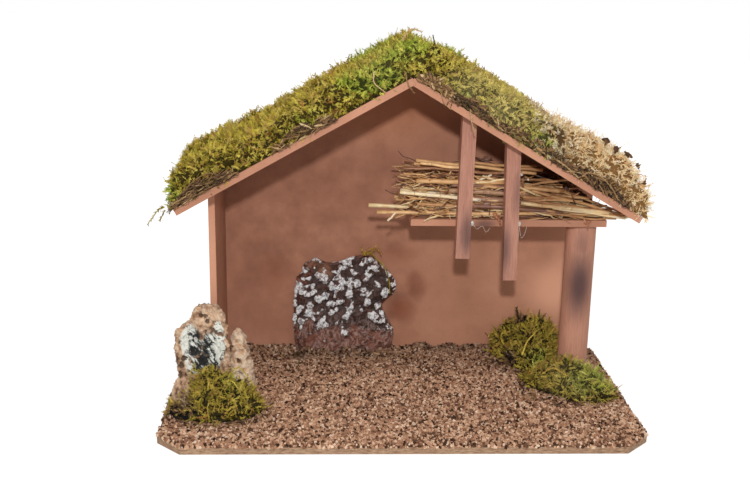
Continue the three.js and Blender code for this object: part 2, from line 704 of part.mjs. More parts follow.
makePlinth();
makeGranules();
makeWalls();
makeRoofBoards();
makeLoft();
makeColumn();
makeBeams();
makeStraw();
makeRoofMoss();
makeGroundMoss();
makeRocks();
makeHearth();
leafScrap('leaf_scrap_left', 0.42, 0.52, leafLength, 0.4, THREE.MathUtils.degToRad(24));
leafScrap('leaf_scrap_right', 0.905, 0.2, 0.76 * leafLength, 0.68, THREE.MathUtils.degToRad(-12));

export default stable;
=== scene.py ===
# Looks for the nativity stable: cork granules, moss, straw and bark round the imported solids
import functools
import math
import random
import bpy
import bmesh
import numpy as np
from mathutils import Matrix, Vector, noise


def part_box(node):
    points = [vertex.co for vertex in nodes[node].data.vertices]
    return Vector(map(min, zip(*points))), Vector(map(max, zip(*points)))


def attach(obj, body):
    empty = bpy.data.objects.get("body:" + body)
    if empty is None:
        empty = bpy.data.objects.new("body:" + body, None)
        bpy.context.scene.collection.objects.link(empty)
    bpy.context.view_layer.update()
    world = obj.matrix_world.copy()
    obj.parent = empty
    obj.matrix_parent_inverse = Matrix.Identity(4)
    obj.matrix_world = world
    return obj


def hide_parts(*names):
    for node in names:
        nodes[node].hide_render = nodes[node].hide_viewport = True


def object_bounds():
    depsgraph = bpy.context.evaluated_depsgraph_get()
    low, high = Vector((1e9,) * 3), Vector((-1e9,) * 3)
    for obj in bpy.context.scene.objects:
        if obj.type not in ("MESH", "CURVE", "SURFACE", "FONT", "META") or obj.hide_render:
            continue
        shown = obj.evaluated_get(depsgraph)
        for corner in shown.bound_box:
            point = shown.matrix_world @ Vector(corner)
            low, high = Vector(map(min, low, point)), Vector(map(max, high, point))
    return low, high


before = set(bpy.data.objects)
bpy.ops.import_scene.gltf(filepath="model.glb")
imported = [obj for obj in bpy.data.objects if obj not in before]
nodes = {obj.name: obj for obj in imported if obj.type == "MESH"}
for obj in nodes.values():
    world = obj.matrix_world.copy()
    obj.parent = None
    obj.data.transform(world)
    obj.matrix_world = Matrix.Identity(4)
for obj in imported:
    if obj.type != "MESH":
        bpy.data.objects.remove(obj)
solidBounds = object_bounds()
mm = 0.001
roof = {"leftPitch": 0.5658, "rightPitch": 0.582, "meanPitch": 0.57,      # fall for each unit across
        "ridgeX": 3, "under": 241.2, "over": 253.95}    # mm, the last two at the ridge: 1.2 under the boards,
                                                        # and their top


# Small tools used by several pieces

def linearColour(hexCode):
    # sRGB hex to the linear values that shaders take
    parts = [int(hexCode[i:i + 2], 16) / 255 for i in (1, 3, 5)]
    return tuple(c / 12.92 if c <= 0.04045 else ((c + 0.055) / 1.055) ** 2.4 for c in parts) + (1.0,)


def addNode(tree, kind, links=(), stops=(), **settings):
    # links fills the shown inputs in order, or by name or number, from nodes, sockets, hex colours or values;
    # stops fills a colour ramp
    node = tree.nodes.new(kind)
    for name, value in settings.items():
        setattr(node, name, value)
    if stops:
        ramp = node.color_ramp
        while len(ramp.elements) < len(stops):
            ramp.elements.new(0.5)
        for element, (place, colour) in zip(ramp.elements, stops):
            element.position = place
            element.color = linearColour(colour) if isinstance(colour, str) else (colour, colour, colour, 1)
    if isinstance(links, dict):
        pairs = [(node.inputs[key], value) for key, value in links.items()]
    else:
        pairs = zip([socket for socket in node.inputs if socket.enabled], links)
    for socket, value in pairs:
        if isinstance(value, bpy.types.Node):
            value = next(output for output in value.outputs if output.enabled)
        if isinstance(value, bpy.types.NodeSocket):
            tree.links.new(value, socket)
        elif isinstance(value, str) and value.startswith("#"):
            socket.default_value = linearColour(value)
        else:
            socket.default_value = value
    return node


def startMaterial(name):
    # New material, the function that adds its nodes, and the object's coordinates
    material = bpy.data.materials.new(name)
    material.use_nodes = True
    material.node_tree.nodes.clear()
    add = functools.partial(addNode, material.node_tree)
    return material, add, add("ShaderNodeTexCoord").outputs["Object"]


def setFinish(add, values, height=None, depth=0.0):
    # Shader with the given inputs; height, where there is one, raises the surface by up to depth in mm
    if height is not None:
        bump = add("ShaderNodeBump", {"Height": height, "Distance": depth * mm, "Strength": 1.0})
        values = {**values, "Normal": bump}
    add("ShaderNodeOutputMaterial", {"Surface": add("ShaderNodeBsdfPrincipled", values)})


def coat(add, colour, layers, blend="MIX"):
    # Lays coats over a colour in turn, each with its share and its own colour
    for share, tone in layers:
        colour = add("ShaderNodeMix", [share, colour, tone], data_type="RGBA", blend_type=blend)
    return colour


def colourAndLightPatches(add, coords, sprays):
    # Soft patches, for stains and colour and for painted light and shade: each has a centre and half sizes in
    # millimetres and a strength
    total = None
    for centre, reach, strength in sprays:
        offset = add("ShaderNodeVectorMath", [coords, [c * mm for c in centre]], operation="SUBTRACT")
        shares = add("ShaderNodeVectorMath", [offset, [1 / (r * mm) for r in reach]], operation="MULTIPLY")
        far = add("ShaderNodeVectorMath", [shares], operation="LENGTH")
        patch = add("ShaderNodeMapRange", [far, 0.1, 1, strength, 0], interpolation_type="SMOOTHSTEP")
        total = patch if total is None else add("ShaderNodeMath", [total, patch], operation="MAXIMUM")
    return total


def dress(names, material):
    for name in names:
        for slot in nodes[name].material_slots:
            slot.material = material


def store(mesh, name, values):
    # One value for each point, which materials read by its name
    mesh.attributes.new(name, "FLOAT", "POINT").data.foreach_set("value", values)


def newObject(name, data):
    made = bpy.data.objects.new(name, data)
    bpy.context.scene.collection.objects.link(made)
    return made


class Shape:
    # Gathers points, faces and per-point values, and makes one mesh of them
    def __init__(self):
        self.points, self.faces, self.values = [], [], {}

    def add(self, points, faces, **values):
        start = len(self.points)
        self.points += points
        self.faces += [[start + i for i in face] for face in faces]
        for name, given in values.items():
            held = self.values.setdefault(name, [0.0] * start)
            held += given if isinstance(given, list) else [given] * len(points)
        for held in self.values.values():
            held += [0.0] * (len(self.points) - len(held))

    def build(self, name, material=None, smooth=True):
        mesh = bpy.data.meshes.new(name)
        mesh.from_pydata([tuple(p) for p in self.points], [], self.faces)
        for key, held in self.values.items():
            store(mesh, key, held)
        if material:
            mesh.materials.append(material)
        mesh.validate()
        if smooth:
            mesh.shade_smooth()
        return newObject(name, mesh)


def finishPiece(piece, slot, *replaced):
    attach(piece, "root")
    if replaced:
        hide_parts(*replaced)


def ease(low, high, value):
    # Smooth step from 0 at low to 1 at high
    t = min(max((value - low) / (high - low), 0.0), 1.0)
    return t * t * (3 - 2 * t)


def through(values, share):
    # Smooth line through evenly spaced values, read at a share of its length
    place = min(max(share, 0.0), 1.0) * (len(values) - 1)
    i = min(int(place), len(values) - 2)
    t = place - i
    before, a, b, after = values[max(i - 1, 0)], values[i], values[i + 1], values[min(i + 2, len(values) - 1)]
    cubic = 3 * (a - b) + after - before
    return a + 0.5 * t * (b - before + t * (2 * before - 5 * a + 4 * b - after + t * cubic))


def smoothPath(points, steps):
    # Smooth line through a few points given in millimetres
    count = steps * (len(points) - 1)
    return [Vector([through([p[axis] for p in points], k / count) for axis in range(3)]) * mm
            for k in range(count + 1)]


def heading(path, k):
    # Direction of a path at one of its points
    return (path[min(k + 1, len(path) - 1)] - path[max(k - 1, 0)]).normalized()


def tube(shape, path, radii, sides=6, hollow=False, **values):
    # Closed round rod along points; a hollow end shows the bore of a straw
    mouth, bottom, boreDepth = 0.62, 0.55, 1.6 * mm     # bore's widths as shares of the rod's, and its depth
    points, faces = [], []
    count = len(path)
    side = heading(path, 0).orthogonal()
    for k in range(count):
        along = heading(path, k)
        side = (side - along * side.dot(along)).normalized()
        other = along.cross(side)
        for i in range(sides):
            turn = 2 * math.pi * i / sides
            points.append(path[k] + (side * math.cos(turn) + other * math.sin(turn)) * radii[k])
    for k in range(count - 1):
        for i in range(sides):
            j = (i + 1) % sides
            faces.append([k * sides + i, k * sides + j, (k + 1) * sides + j, (k + 1) * sides + i])
    for end in (0, count - 1):
        order = list(range(end * sides, (end + 1) * sides))
        if end == 0:
            order.reverse()
        if hollow:
            inward = heading(path, end) * (1 if end == 0 else -1)
            for depth, share, before in ((0.0, mouth, 1), (boreDepth, bottom, mouth)):
                start = len(points)
                points += [path[end] + (points[i] - path[end]) * share / before + inward * depth
                           for i in order]
                inner = list(range(start, start + sides))
                faces += [[order[i], order[(i + 1) % sides], inner[(i + 1) % sides], inner[i]]
                          for i in range(sides)]
                order = inner
        faces.append(order)
    bore = [0.0] * (count * sides) + [1.0] * (len(points) - count * sides)
    shape.add(points, faces, **values, bore=bore)


def leaflet(shape, foot, aim, across, wide, thick, reach, **values):
    # Pointed leaflet, sizes in mm: a thin pyramid whose faces all point away from its middle
    ridge = across.cross(aim).normalized() * thick * mm
    corners = [foot + across * wide * mm, foot - across * wide * mm, foot + ridge, foot + aim * reach * mm]
    middle = sum(corners, Vector()) / len(corners)
    faces = []
    for face in ((0, 1, 2), (0, 1, 3), (1, 2, 3), (2, 0, 3)):
        a, b, c = (corners[i] for i in face)
        outwards = (b - a).cross(c - a).dot((a + b + c) / 3 - middle) > 0
        faces.append(face if outwards else face[::-1])
    shape.add(corners, faces, **values)


def ribbon(shape, path, widths, across, twist, **values):
    # Thin flat strip along points, turned steadily by twist, closed on all sides
    halfThickness = 0.14 * mm
    points, faces = [], []
    last = len(path) - 1
    for k in range(last + 1):
        along = heading(path, k)
        side = (across - along * across.dot(along)).normalized()
        side.rotate(Matrix.Rotation(twist * k / last, 3, along))
        half, up = side * widths[k] / 2, along.cross(side) * halfThickness
        points += [path[k] - half - up, path[k] + half - up, path[k] + half + up, path[k] - half + up]
    for a in range(0, 4 * last, 4):
        faces += [[a + i, a + (i + 1) % 4, a + 4 + (i + 1) % 4, a + 4 + i] for i in range(4)]
    faces += [[3, 2, 1, 0], [4 * last + i for i in range(4)]]
    shape.add(points, faces, **values)


def scrap(shape, centre, aim, length, width, curl, **values):
    # Curled ragged strip, pointed at both ends
    steps = 5
    bow = aim.orthogonal().normalized()
    bow.rotate(Matrix.Rotation(random.uniform(0, 2 * math.pi), 3, aim))
    path, widths = [], []
    for k in range(steps + 1):
        t = k / steps - 0.5
        sway = noise.noise(centre * 900 + Vector((4 * t, 0, 0))) * 0.2
        path.append(centre + aim * length * t + bow * length * (curl * (t * t - 0.12) + sway * (t + 0.5)))
        widths.append(width * (0.2 + 0.8 * (1 - abs(2 * t) ** 2)) * random.uniform(0.7, 1.2))
    ribbon(shape, path, widths, aim.cross(bow), random.uniform(-1.5, 1.5), **values)


def plainMesh(worker):
    # Mesh of an object with its modifiers applied; the object itself goes
    mesh = bpy.data.meshes.new_from_object(worker.evaluated_get(bpy.context.evaluated_depsgraph_get()))
    bpy.data.objects.remove(worker)
    return mesh


def mergedCopy(name):
    # Copy of a solid's mesh with its loose triangles joined
    mesh = nodes[name].data.copy()
    work = bmesh.new()
    work.from_mesh(mesh)
    bmesh.ops.remove_doubles(work, verts=work.verts, dist=1e-6)
    work.to_mesh(mesh)
    work.free()
    mesh.materials.clear()
    return mesh


def evenCopy(name, voxel):
    # Evenly meshed copy of a solid, for moss, straw or bark; voxel in mm
    worker = newObject(name + "_copy", mergedCopy(name))
    remesh = worker.modifiers.new("Even mesh", "REMESH")
    remesh.mode = "VOXEL"
    remesh.voxel_size = voxel * mm
    return plainMesh(worker)


def reshape(mesh, moved):
    # Puts each vertex where a function of it says
    places = [moved(vertex) for vertex in mesh.vertices]
    for vertex, place in zip(mesh.vertices, places):
        vertex.co = place
    mesh.update()


def roofHeight(x, atRidge):
    # Height above a place under or on the roof, in metres, from its height at the ridge in mm
    pitch = roof["leftPitch"] if x < roof["ridgeX"] * mm else roof["rightPitch"]
    return atRidge * mm - abs(x - roof["ridgeX"] * mm) * pitch


# Camera, lamp, white room and floor

view = {
    "place": (-54.6, -757.3, 332.0),                # mm, from the straight edges of the photograph
    "yaw": 2.624, "down": 15.538, "roll": 1.055,    # degrees
    "lens": 50.155, "picture": 36,                  # mm, focal length and width of the picture
    "lamp": (-51.6, -774.6, 447.6), "lampAim": (0, 40, 120), "lampSize": 34,    # mm
    "lampPower": 3.7,                               # watts
    "room": (1, 0.955, 0.9, 1), "roomStrength": 0.5,
    "floor": 3000, "floorDepth": 0.2,               # mm, half its width, and how far it lies under the plinth
    "glowNear": (0.15, 0.86), "glowFar": (0.9, 1.0),    # the paper's glow at two distances in metres
}


def makeCamera():
    yaw, down, roll = (math.radians(view[k]) for k in ("yaw", "down", "roll"))
    forward = Vector((math.sin(yaw) * math.cos(down), math.cos(yaw) * math.cos(down), -math.sin(down)))
    level = Vector((math.cos(yaw), -math.sin(yaw), 0))
    upright = level.cross(forward)
    right = level * math.cos(roll) + upright * math.sin(roll)
    up = upright * math.cos(roll) - level * math.sin(roll)
    camera = newObject("camera", bpy.data.cameras.new("camera"))
    camera.data.lens = view["lens"]
    camera.data.sensor_width = view["picture"]
    camera.data.clip_start = 10 * mm
    turn = Matrix((right, up, -forward)).transposed().to_4x4()
    camera.matrix_world = Matrix.Translation(Vector(view["place"]) * mm) @ turn
    bpy.context.scene.camera = camera


def makeLamp():
    lamp = newObject("camera_flash", bpy.data.lights.new("camera_flash", "AREA"))
    lamp.data.shape = "DISK"
    lamp.data.size = view["lampSize"] * mm
    lamp.data.energy = view["lampPower"]
    lamp.location = Vector(view["lamp"]) * mm
    lamp.rotation_euler = (Vector(view["lampAim"]) * mm - lamp.location).to_track_quat("-Z", "Y").to_euler()


def makeRoom():
    # Cream light from all round, which shows as plain white, also in reflections and through clear glue
    world = bpy.data.worlds.new("white room")
    bpy.context.scene.world = world
    world.use_nodes = True
    world.node_tree.nodes.clear()
    add = functools.partial(addNode, world.node_tree)
    rays = add("ShaderNodeLightPath").outputs
    seen = add("ShaderNodeMath", [rays["Is Camera Ray"], rays["Is Glossy Ray"]], operation="MAXIMUM")
    seen = add("ShaderNodeMath", [seen, rays["Is Transmission Ray"]], operation="MAXIMUM")
    room = add("ShaderNodeBackground", [view["room"], view["roomStrength"]])
    white = add("ShaderNodeBackground", [(1, 1, 1, 1), 1])
    add("ShaderNodeOutputWorld", {"Surface": add("ShaderNodeMixShader", [seen, room, white])})


def makeFloor():
    # White paper that glows a little, so that it burns out to white further from the object
    material, add, coords = startMaterial("white paper floor")
    paper = add("ShaderNodeBsdfDiffuse", [(0.3, 0.3, 0.3, 1)])
    away = add("ShaderNodeVectorMath", [coords], operation="LENGTH")
    (near, dim), (far, bright) = view["glowNear"], view["glowFar"]
    level = add("ShaderNodeMapRange", [away, near, far, dim, bright])
    glow = add("ShaderNodeEmission", [(1, 1, 1, 1), level])
    seen = add("ShaderNodeAddShader", [paper, glow])
    plain = add("ShaderNodeBsdfDiffuse", [(0.8, 0.8, 0.8, 1)])
    camera = add("ShaderNodeLightPath").outputs["Is Camera Ray"]
    add("ShaderNodeOutputMaterial", {"Surface": add("ShaderNodeMixShader", [camera, plain, seen])})
    half, depth = view["floor"] * mm, -view["floorDepth"] * mm
    shape = Shape()
    shape.add([(-half, -half, depth), (half, -half, depth), (half, half, depth), (-half, half, depth)],
              [[0, 1, 2, 3]])
    shape.build("paper_floor", material, smooth=False)


makeCamera()
makeLamp()
makeRoom()
makeFloor()
bpy.context.scene.view_settings.view_transform = "Standard"
print("camera, lamp and floor")


# Painted boards, sticks and the column

paint = {
    "cloud": "#ae795e", "wall": "#c1896d", "pale": "#cc9578", "blot": "#a5735b", "speck": "#8f5f4b",
    # light is the colour of painted light, warm that of painted warm bounce light
    "shade": "#6a3d2c", "light": "#e9ad8e", "rust": "#8c4a2f", "warm": "#c97f4e", "violet": "#593c39",
    "stick": "#b98571", "stickDark": "#a06c59", "dowel": "#c99179", "dowelDark": "#b57f69",
    "sawn": [(0.3, "#856550"), (0.5, "#aa896d"), (0.72, "#c2a386")], "sawnStain": "#9a7660",
    "front": (91, 94),     # mm, where the back wall's paint turns from sprayed to plain along Y
    # centre, half sizes and strength of each soft patch, mm: sprayed smudges and stains, painted light and
    # painted warm bounce light
    # the first two patches darken the back wall broadly over its left and upper part; the rest are sprayed
    # smudges round the hearth and by the column
    "shadeSprays": [((-90, 90, 130), (215, 60, 215), 0.5), ((-20, 90, 205), (90, 60, 60), 0.2),
                    ((-98, 90, 76), (24, 40, 30), 0.5), ((-7, 90, 99), (30, 40, 16), 0.6),
                    ((19, 90, 64), (17, 40, 27), 0.6), ((4, 90, 47), (27, 40, 34), 0.65),
                    ((-40, 90, 103), (48, 40, 18), 0.45), ((131, 90, 88), (12, 40, 18), 0.25)],
    # painted light: bounce off the column onto the wall beside it, and painted highlights on the left wall's
    # front edge and the roof boards' front edges
    "paintedLightSprays": [((138, 90, 62), (34, 40, 40), 0.9), ((-143, 12, 85), (7, 8, 120), 0.5),
                    ((-80, -32, 205), (105, 4, 70), 0.1), ((85, -32, 200), (105, 4, 70), 0.22)],
    "rustSprays": [((8, 90, 44), (17, 30, 16), 0.6), ((20, 90, 66), (15, 30, 22), 0.35),
                   ((-100, 90, 74), (20, 30, 26), 0.3), ((2, 90, 92), (22, 30, 12), 0.35)],
    # painted warm bounce light on the upper wall, in the roof's shadow
    "paintedBounceSprays": [((-10, 90, 222), (110, 60, 48), 0.32)],
    "violetSprays": [((48, -11, 137), (9, 9, 27), 0.8), ((76, -11, 125), (8, 9, 30), 0.75),
                     ((84, -11, 168), (6, 9, 26), 0.5), ((62, -1, 142), (15, 5, 7), 0.8),
                     ((115, -1, 142), (60, 4, 8), 0.22)],
    "columnSprays": [((139, 6, 92), (16, 18, 42), 1.0), ((139, 6, 124), (9, 14, 20), 0.5)],
}


def paintMaterial():
    # Fibreboard brushed with matt emulsion: a flat, slightly cloudy terracotta, darker in sprayed smudges and
    # broadly over the back wall's left and upper part, with painted light and painted warm bounce light in
    # places
    material, add, coords = startMaterial("terracotta emulsion on fibreboard")
    cloud = add("ShaderNodeTexNoise", [coords, 1 / (45 * mm), 3])
    ragged = add("ShaderNodeTexNoise", [coords, 1 / (14 * mm), 3])
    blot = add("ShaderNodeTexNoise", [coords, 1 / (9 * mm), 4, 0.7])
    speck = add("ShaderNodeTexNoise", [coords, 1 / (1.1 * mm)])
    depth = add("ShaderNodeSeparateXYZ", [coords]).outputs["Y"]
    front = add("ShaderNodeMapRange", [depth, paint["front"][0] * mm, paint["front"][1] * mm, 1, 0])
    shade, light, rust = (
        add("ShaderNodeMath", [colourAndLightPatches(add, coords, paint[kind]), front], operation="MULTIPLY")
        for kind in ("shadeSprays", "paintedLightSprays", "rustSprays"))
    uneven = add("ShaderNodeMapRange", [ragged, 0.3, 0.7, 0.55, 1.15])
    colour = add("ShaderNodeValToRGB", [cloud],
                 stops=[(0.25, paint["cloud"]), (0.5, paint["wall"]), (0.78, paint["pale"])])
    colour = coat(add, colour, [
        (add("ShaderNodeMapRange", [blot, 0.5, 0.8, 0, 0.35]), paint["blot"]),
        (add("ShaderNodeMapRange", [speck, 0.62, 0.74, 0, 0.4]), paint["speck"]),
        (add("ShaderNodeMath", [shade, uneven], operation="MULTIPLY"), paint["shade"]),
        # painted light: bounce beside the column and highlights on the front edges
        (light, paint["light"]),
        (rust, paint["rust"]),
        # painted warm bounce light in the roof's shadow
        (colourAndLightPatches(add, coords, paint["paintedBounceSprays"]), paint["warm"]),
        (colourAndLightPatches(add, coords, paint["violetSprays"]), paint["violet"])])
    setFinish(add, {"Base Color": colour, "Roughness": 0.82}, speck, 0.08)
    return material


def stickMaterial(name, pale, dark, sprays):
    # Sawn softwood, stained: fine dark grain lines along its length, airbrushed violet in places
    material, add, coords = startMaterial(name)
    drawn = add("ShaderNodeMapping", {"Vector": coords, "Scale": (1, 1, 0.07)})
    grain = add("ShaderNodeTexNoise", {"Vector": drawn, "Scale": 1 / (0.8 * mm), "Detail": 3,
                                       "Roughness": 0.65, "Distortion": 0.4})
    wide = add("ShaderNodeTexNoise", [drawn, 1 / (5 * mm)])
    colour = add("ShaderNodeValToRGB", [grain], stops=[(0.3, dark), (0.56, pale)])
    colour = coat(add, colour, [(add("ShaderNodeMapRange", [wide, 0.45, 0.8, 0, 0.4]), dark),
                                (colourAndLightPatches(add, coords, sprays), paint["violet"])])
    setFinish(add, {"Base Color": colour, "Roughness": 0.7}, grain, 0.15)
    return material


def sawnEdgeMaterial():
    # Bare fibreboard: tan with short fibres that lie flat, stained in places
    material, add, coords = startMaterial("bare sawn fibreboard")
    flat = add("ShaderNodeMapping", {"Vector": coords, "Scale": (0.25, 0.25, 1)})
    fibre = add("ShaderNodeTexNoise", [flat, 1 / (0.9 * mm), 4])
    cloud = add("ShaderNodeTexNoise", [coords, 1 / (22 * mm), 3])
    colour = add("ShaderNodeValToRGB", [fibre], stops=paint["sawn"])
    stained = add("ShaderNodeMapRange", [cloud, 0.5, 0.72, 0, 0.55])
    colour = coat(add, colour, [(stained, paint["sawnStain"])])
    setFinish(add, {"Base Color": colour, "Roughness": 0.85}, fibre, 0.12)
    return material


dress(["back_wall", "left_side_wall", "roof_board_left", "roof_board_right", "loft_shelf"], paintMaterial())
dress(["hanging_beam_left", "hanging_beam_right"],
      stickMaterial("stained softwood stick", paint["stick"], paint["stickDark"], paint["violetSprays"]))
dress(["round_column"],
      stickMaterial("stained beech dowel", paint["dowel"], paint["dowelDark"], paint["columnSprays"]))
dress(["base_board"], sawnEdgeMaterial())
print("painted boards, sticks and column")


# Cork granules

granules = {
    "kinds": 7, "seed": 5,
    "crumb": 0.86, "uneven": (0.62, 1.25),  # mm before scaling, and how far each corner is moved, as a share
    "smallest": 1.35, "largest": 2.95,      # times the crumb
    "spacing": 1.3, "topSpacing": 2.9,      # mm, bed and loose top layer
    "sink": 1.5,                            # mm, how far the bed under the granules is lowered
    "bankHeight": 7.6, "bankWidth": 9,      # mm, heap against the walls
    "footHeight": 2.4, "footWidth": 5,      # mm, heap round the column
    # painted shade at the foot of the hearth and along the foot of the wall: centre, half sizes and strength,
    # mm
    "paintedFootShadeSprays": [((-80, 72, 10), (16, 12, 12), 0.6), ((-40, 76, 10), (60, 9, 10), 0.35),
                   ((46, 90, 12), (46, 12, 10), 0.45)],
    "paintedFootShade": "#2e2420",
    "tints": [(0.0, "#36261f"), (0.13, "#73513f"), (0.3, "#ac8066"), (0.6, "#cda283"), (0.82, "#e8bf9e"),
              (1.0, "#fbe0c6")],
    "pores": [(0.3, "#7b5f4b"), (0.55, "#ffffff")],
    "glue": [(0.35, "#4f3a2d"), (0.65, "#856650")],
    # pieces of the bed by where they start and end in X, metres
    "spans": [("granules_left", -1.0, -0.045), ("granules_middle", -0.045, 0.07),
              ("granules_right", 0.07, 1.0)],
}


def hiddenCollection(name, pieces):
    group = bpy.data.collections.new(name)
    for piece in pieces:
        for owner in list(piece.users_collection):
            owner.objects.unlink(piece)
        group.objects.link(piece)
    return group


def granuleKinds():
    # Angular crumbs of about 1 mm, scaled where they are placed
    random.seed(granules["seed"])
    pieces = []
    for kind in range(granules["kinds"]):
        work = bmesh.new()
        bmesh.ops.create_cube(work, size=granules["crumb"] * mm)
        stretch = Vector((1, random.uniform(0.6, 1.0), random.uniform(0.5, 0.85)))
        for vertex in work.verts:
            vertex.co = Vector([c * s * random.uniform(*granules["uneven"])
                                for c, s in zip(vertex.co, stretch)])
        bmesh.ops.triangulate(work, faces=work.faces)
        bmesh.ops.recalc_face_normals(work, faces=work.faces)
        mesh = bpy.data.meshes.new(f"crumb_{kind}")
        work.to_mesh(mesh)
        work.free()
        pieces.append(bpy.data.objects.new(f"crumb_{kind}", mesh))
    return hiddenCollection("crumbs", pieces)


def granuleMaterial():
    # Ground cork: each crumb its own brown, from nearly black bark to pale heartwood, quite matt, with
    # painted shade towards the back wall and at the foot of the hearth and wall
    material, add, coords = startMaterial("ground cork")
    tint = add("ShaderNodeAttribute", attribute_name="tint").outputs["Fac"]
    pores = add("ShaderNodeTexNoise", [coords, 1 / (0.6 * mm)])
    # painted shade: the granules darken towards the back wall
    depth = add("ShaderNodeSeparateXYZ", [coords]).outputs["Y"]
    dim = add("ShaderNodeMapRange", [depth, 20 * mm, 88 * mm, 1, 0.66])
    colour = add("ShaderNodeValToRGB", [tint], stops=granules["tints"])
    porous = add("ShaderNodeValToRGB", [pores], stops=granules["pores"])
    colour = coat(add, colour, [(0.35, porous), (1, dim)], "MULTIPLY")
    # painted shade at the foot of the hearth and of the wall
    colour = coat(add, colour, [(colourAndLightPatches(add, coords, granules["paintedFootShadeSprays"]), granules["paintedFootShade"])])
    setFinish(add, {"Base Color": colour, "Roughness": 1.0, "Specular IOR Level": 0.08})
    return material


def brownGlueMaterial():
    # Glue mixed with cork dust: dull, blotched brown
    material, add, coords = startMaterial("brown glue under the cork")
    grit = add("ShaderNodeTexNoise", [coords, 1 / (1.5 * mm), 3])
    colour = add("ShaderNodeValToRGB", [grit], stops=granules["glue"])
    setFinish(add, {"Base Color": colour, "Roughness": 1.0, "Specular IOR Level": 0.05})
    return material


def scatterTree(name, kinds, material):
    # Scatters one of several kinds over a surface between two places along X and sets each one's tint
    tree = bpy.data.node_groups.new(name, "GeometryNodeTree")
    add = functools.partial(addNode, tree)
    panel = tree.interface
    panel.new_socket("Geometry", in_out="INPUT", socket_type="NodeSocketGeometry")
    inputs = {}
    for title in ("From X", "To X", "Spacing", "Smallest", "Largest", "Lean", "Comb", "Lift",
                  "Lowest Facing"):
        inputs[title] = panel.new_socket(title, in_out="INPUT", socket_type="NodeSocketFloat")
    inputs["Seed"] = panel.new_socket("Seed", in_out="INPUT", socket_type="NodeSocketInt")
    inputs["Keep Surface"] = panel.new_socket("Keep Surface", in_out="INPUT", socket_type="NodeSocketBool")
    panel.new_socket("Geometry", in_out="OUTPUT", socket_type="NodeSocketGeometry")
    given = add("NodeGroupInput").outputs
    place = add("GeometryNodeInputPosition")
    facing = add("ShaderNodeSeparateXYZ", [add("GeometryNodeInputNormal")]).outputs["Z"]
    chosen = add("FunctionNodeCompare", [facing, given["Lowest Facing"]], operation="GREATER_EQUAL")
    points = add("GeometryNodeDistributePointsOnFaces", {
        "Mesh": given["Geometry"], "Selection": chosen, "Distance Min": given["Spacing"],
        "Density Max": 4e6, "Seed": given["Seed"]}, distribute_method="POISSON")    # at most 4 on each mm2
    x = add("ShaderNodeSeparateXYZ", [place]).outputs["X"]
    outside = [add("FunctionNodeCompare", [x, given[title]], operation=test)
               for title, test in (("From X", "LESS_THAN"), ("To X", "GREATER_EQUAL"))]
    outside = add("FunctionNodeBooleanMath", outside, operation="OR")
    kept = add("GeometryNodeDeleteGeometry", [points, outside])

    outwards = add("FunctionNodeAlignRotationToVector", {"Vector": points.outputs["Normal"]}, axis="Z")
    leanBack = add("ShaderNodeMath", [given["Lean"], -1], operation="MULTIPLY")
    low = add("ShaderNodeCombineXYZ", [leanBack, leanBack, -math.pi])
    high = add("ShaderNodeCombineXYZ", [given["Lean"], given["Lean"], math.pi])
    turn = add("FunctionNodeRandomValue", {0: low, 1: high, "Seed": given["Seed"]}, data_type="FLOAT_VECTOR")
    waves = add("ShaderNodeTexNoise", [place, 1 / (8 * mm), 1]).outputs["Color"]
    comb = add("ShaderNodeVectorMath", [waves, (0.5, 0.5, 0.5)], operation="SUBTRACT")
    comb = add("ShaderNodeVectorMath", [comb, given["Comb"]], operation="SCALE")
    comb = add("ShaderNodeVectorMath", [comb, (4, 4, 0)], operation="MULTIPLY")
    turned = outwards
    for angles in (comb, turn):
        step = add("FunctionNodeEulerToRotation", [angles])
        turned = add("FunctionNodeRotateRotation", [turned, step], rotation_space="LOCAL")

    size = add("FunctionNodeRandomValue", {2: given["Smallest"], 3: given["Largest"], "Seed": given["Seed"]},
               data_type="FLOAT")
    lift = add("ShaderNodeVectorMath", [points.outputs["Normal"], given["Lift"]], operation="SCALE")
    lifted = add("GeometryNodeSetPosition", {"Geometry": kept, "Offset": lift})
    group = add("GeometryNodeCollectionInfo", {"Collection": kinds, "Separate Children": True,
                                               "Reset Children": True})
    placed = add("GeometryNodeInstanceOnPoints", {"Points": lifted, "Instance": group, "Pick Instance": True,
                                                  "Rotation": turned, "Scale": size})
    tint = add("FunctionNodeRandomValue", {2: 0.0, 3: 1.0, "Seed": 77}, data_type="FLOAT")
    tinted = add("GeometryNodeStoreNamedAttribute", {"Geometry": placed, "Name": "tint", "Value": tint},
                 data_type="FLOAT", domain="INSTANCE")
    real = add("GeometryNodeRealizeInstances", [tinted])
    finished = add("GeometryNodeSetMaterial", {"Geometry": real, "Material": material})
    surface = add("GeometryNodeSwitch", {"Switch": given["Keep Surface"], "True": given["Geometry"]},
                  input_type="GEOMETRY")
    joined = add("GeometryNodeJoinGeometry")
    for part in (finished, surface):
        tree.links.new(part.outputs[0], joined.inputs[0])
    add("NodeGroupOutput", [joined])
    return tree, {title: socket.identifier for title, socket in inputs.items()}


def pressIn(mesh):
    # Shoots and crumbs that stick out past the model's sides are pressed back towards it
    spare, left = (6, 3, 4), 0.15       # mm that are free along each axis, and how much of the rest stays
    places = np.empty(len(mesh.vertices) * 3, dtype=np.float32)
    mesh.vertices.foreach_get("co", places)
    places = places.reshape(-1, 3)
    for axis in range(3):
        column, free = places[:, axis], spare[axis] * mm
        held = np.clip(column, solidBounds[0][axis] - free, solidBounds[1][axis] + free)
        column[:] = held + left * (column - held)
    mesh.vertices.foreach_set("co", places.ravel())
    mesh.update()


def scatterOver(name, surface, scatter, values):
    # Runs a scatter tree on a mesh and returns the result as a plain piece
    tree, identifiers = scatter
    worker = newObject(name, surface)
    modifier = worker.modifiers.new("Scatter", "NODES")
    modifier.node_group = tree
    for title, value in values.items():
        modifier[identifiers[title]] = value
    result = plainMesh(worker)
    pressIn(result)
    result.name = name
    return newObject(name, result)


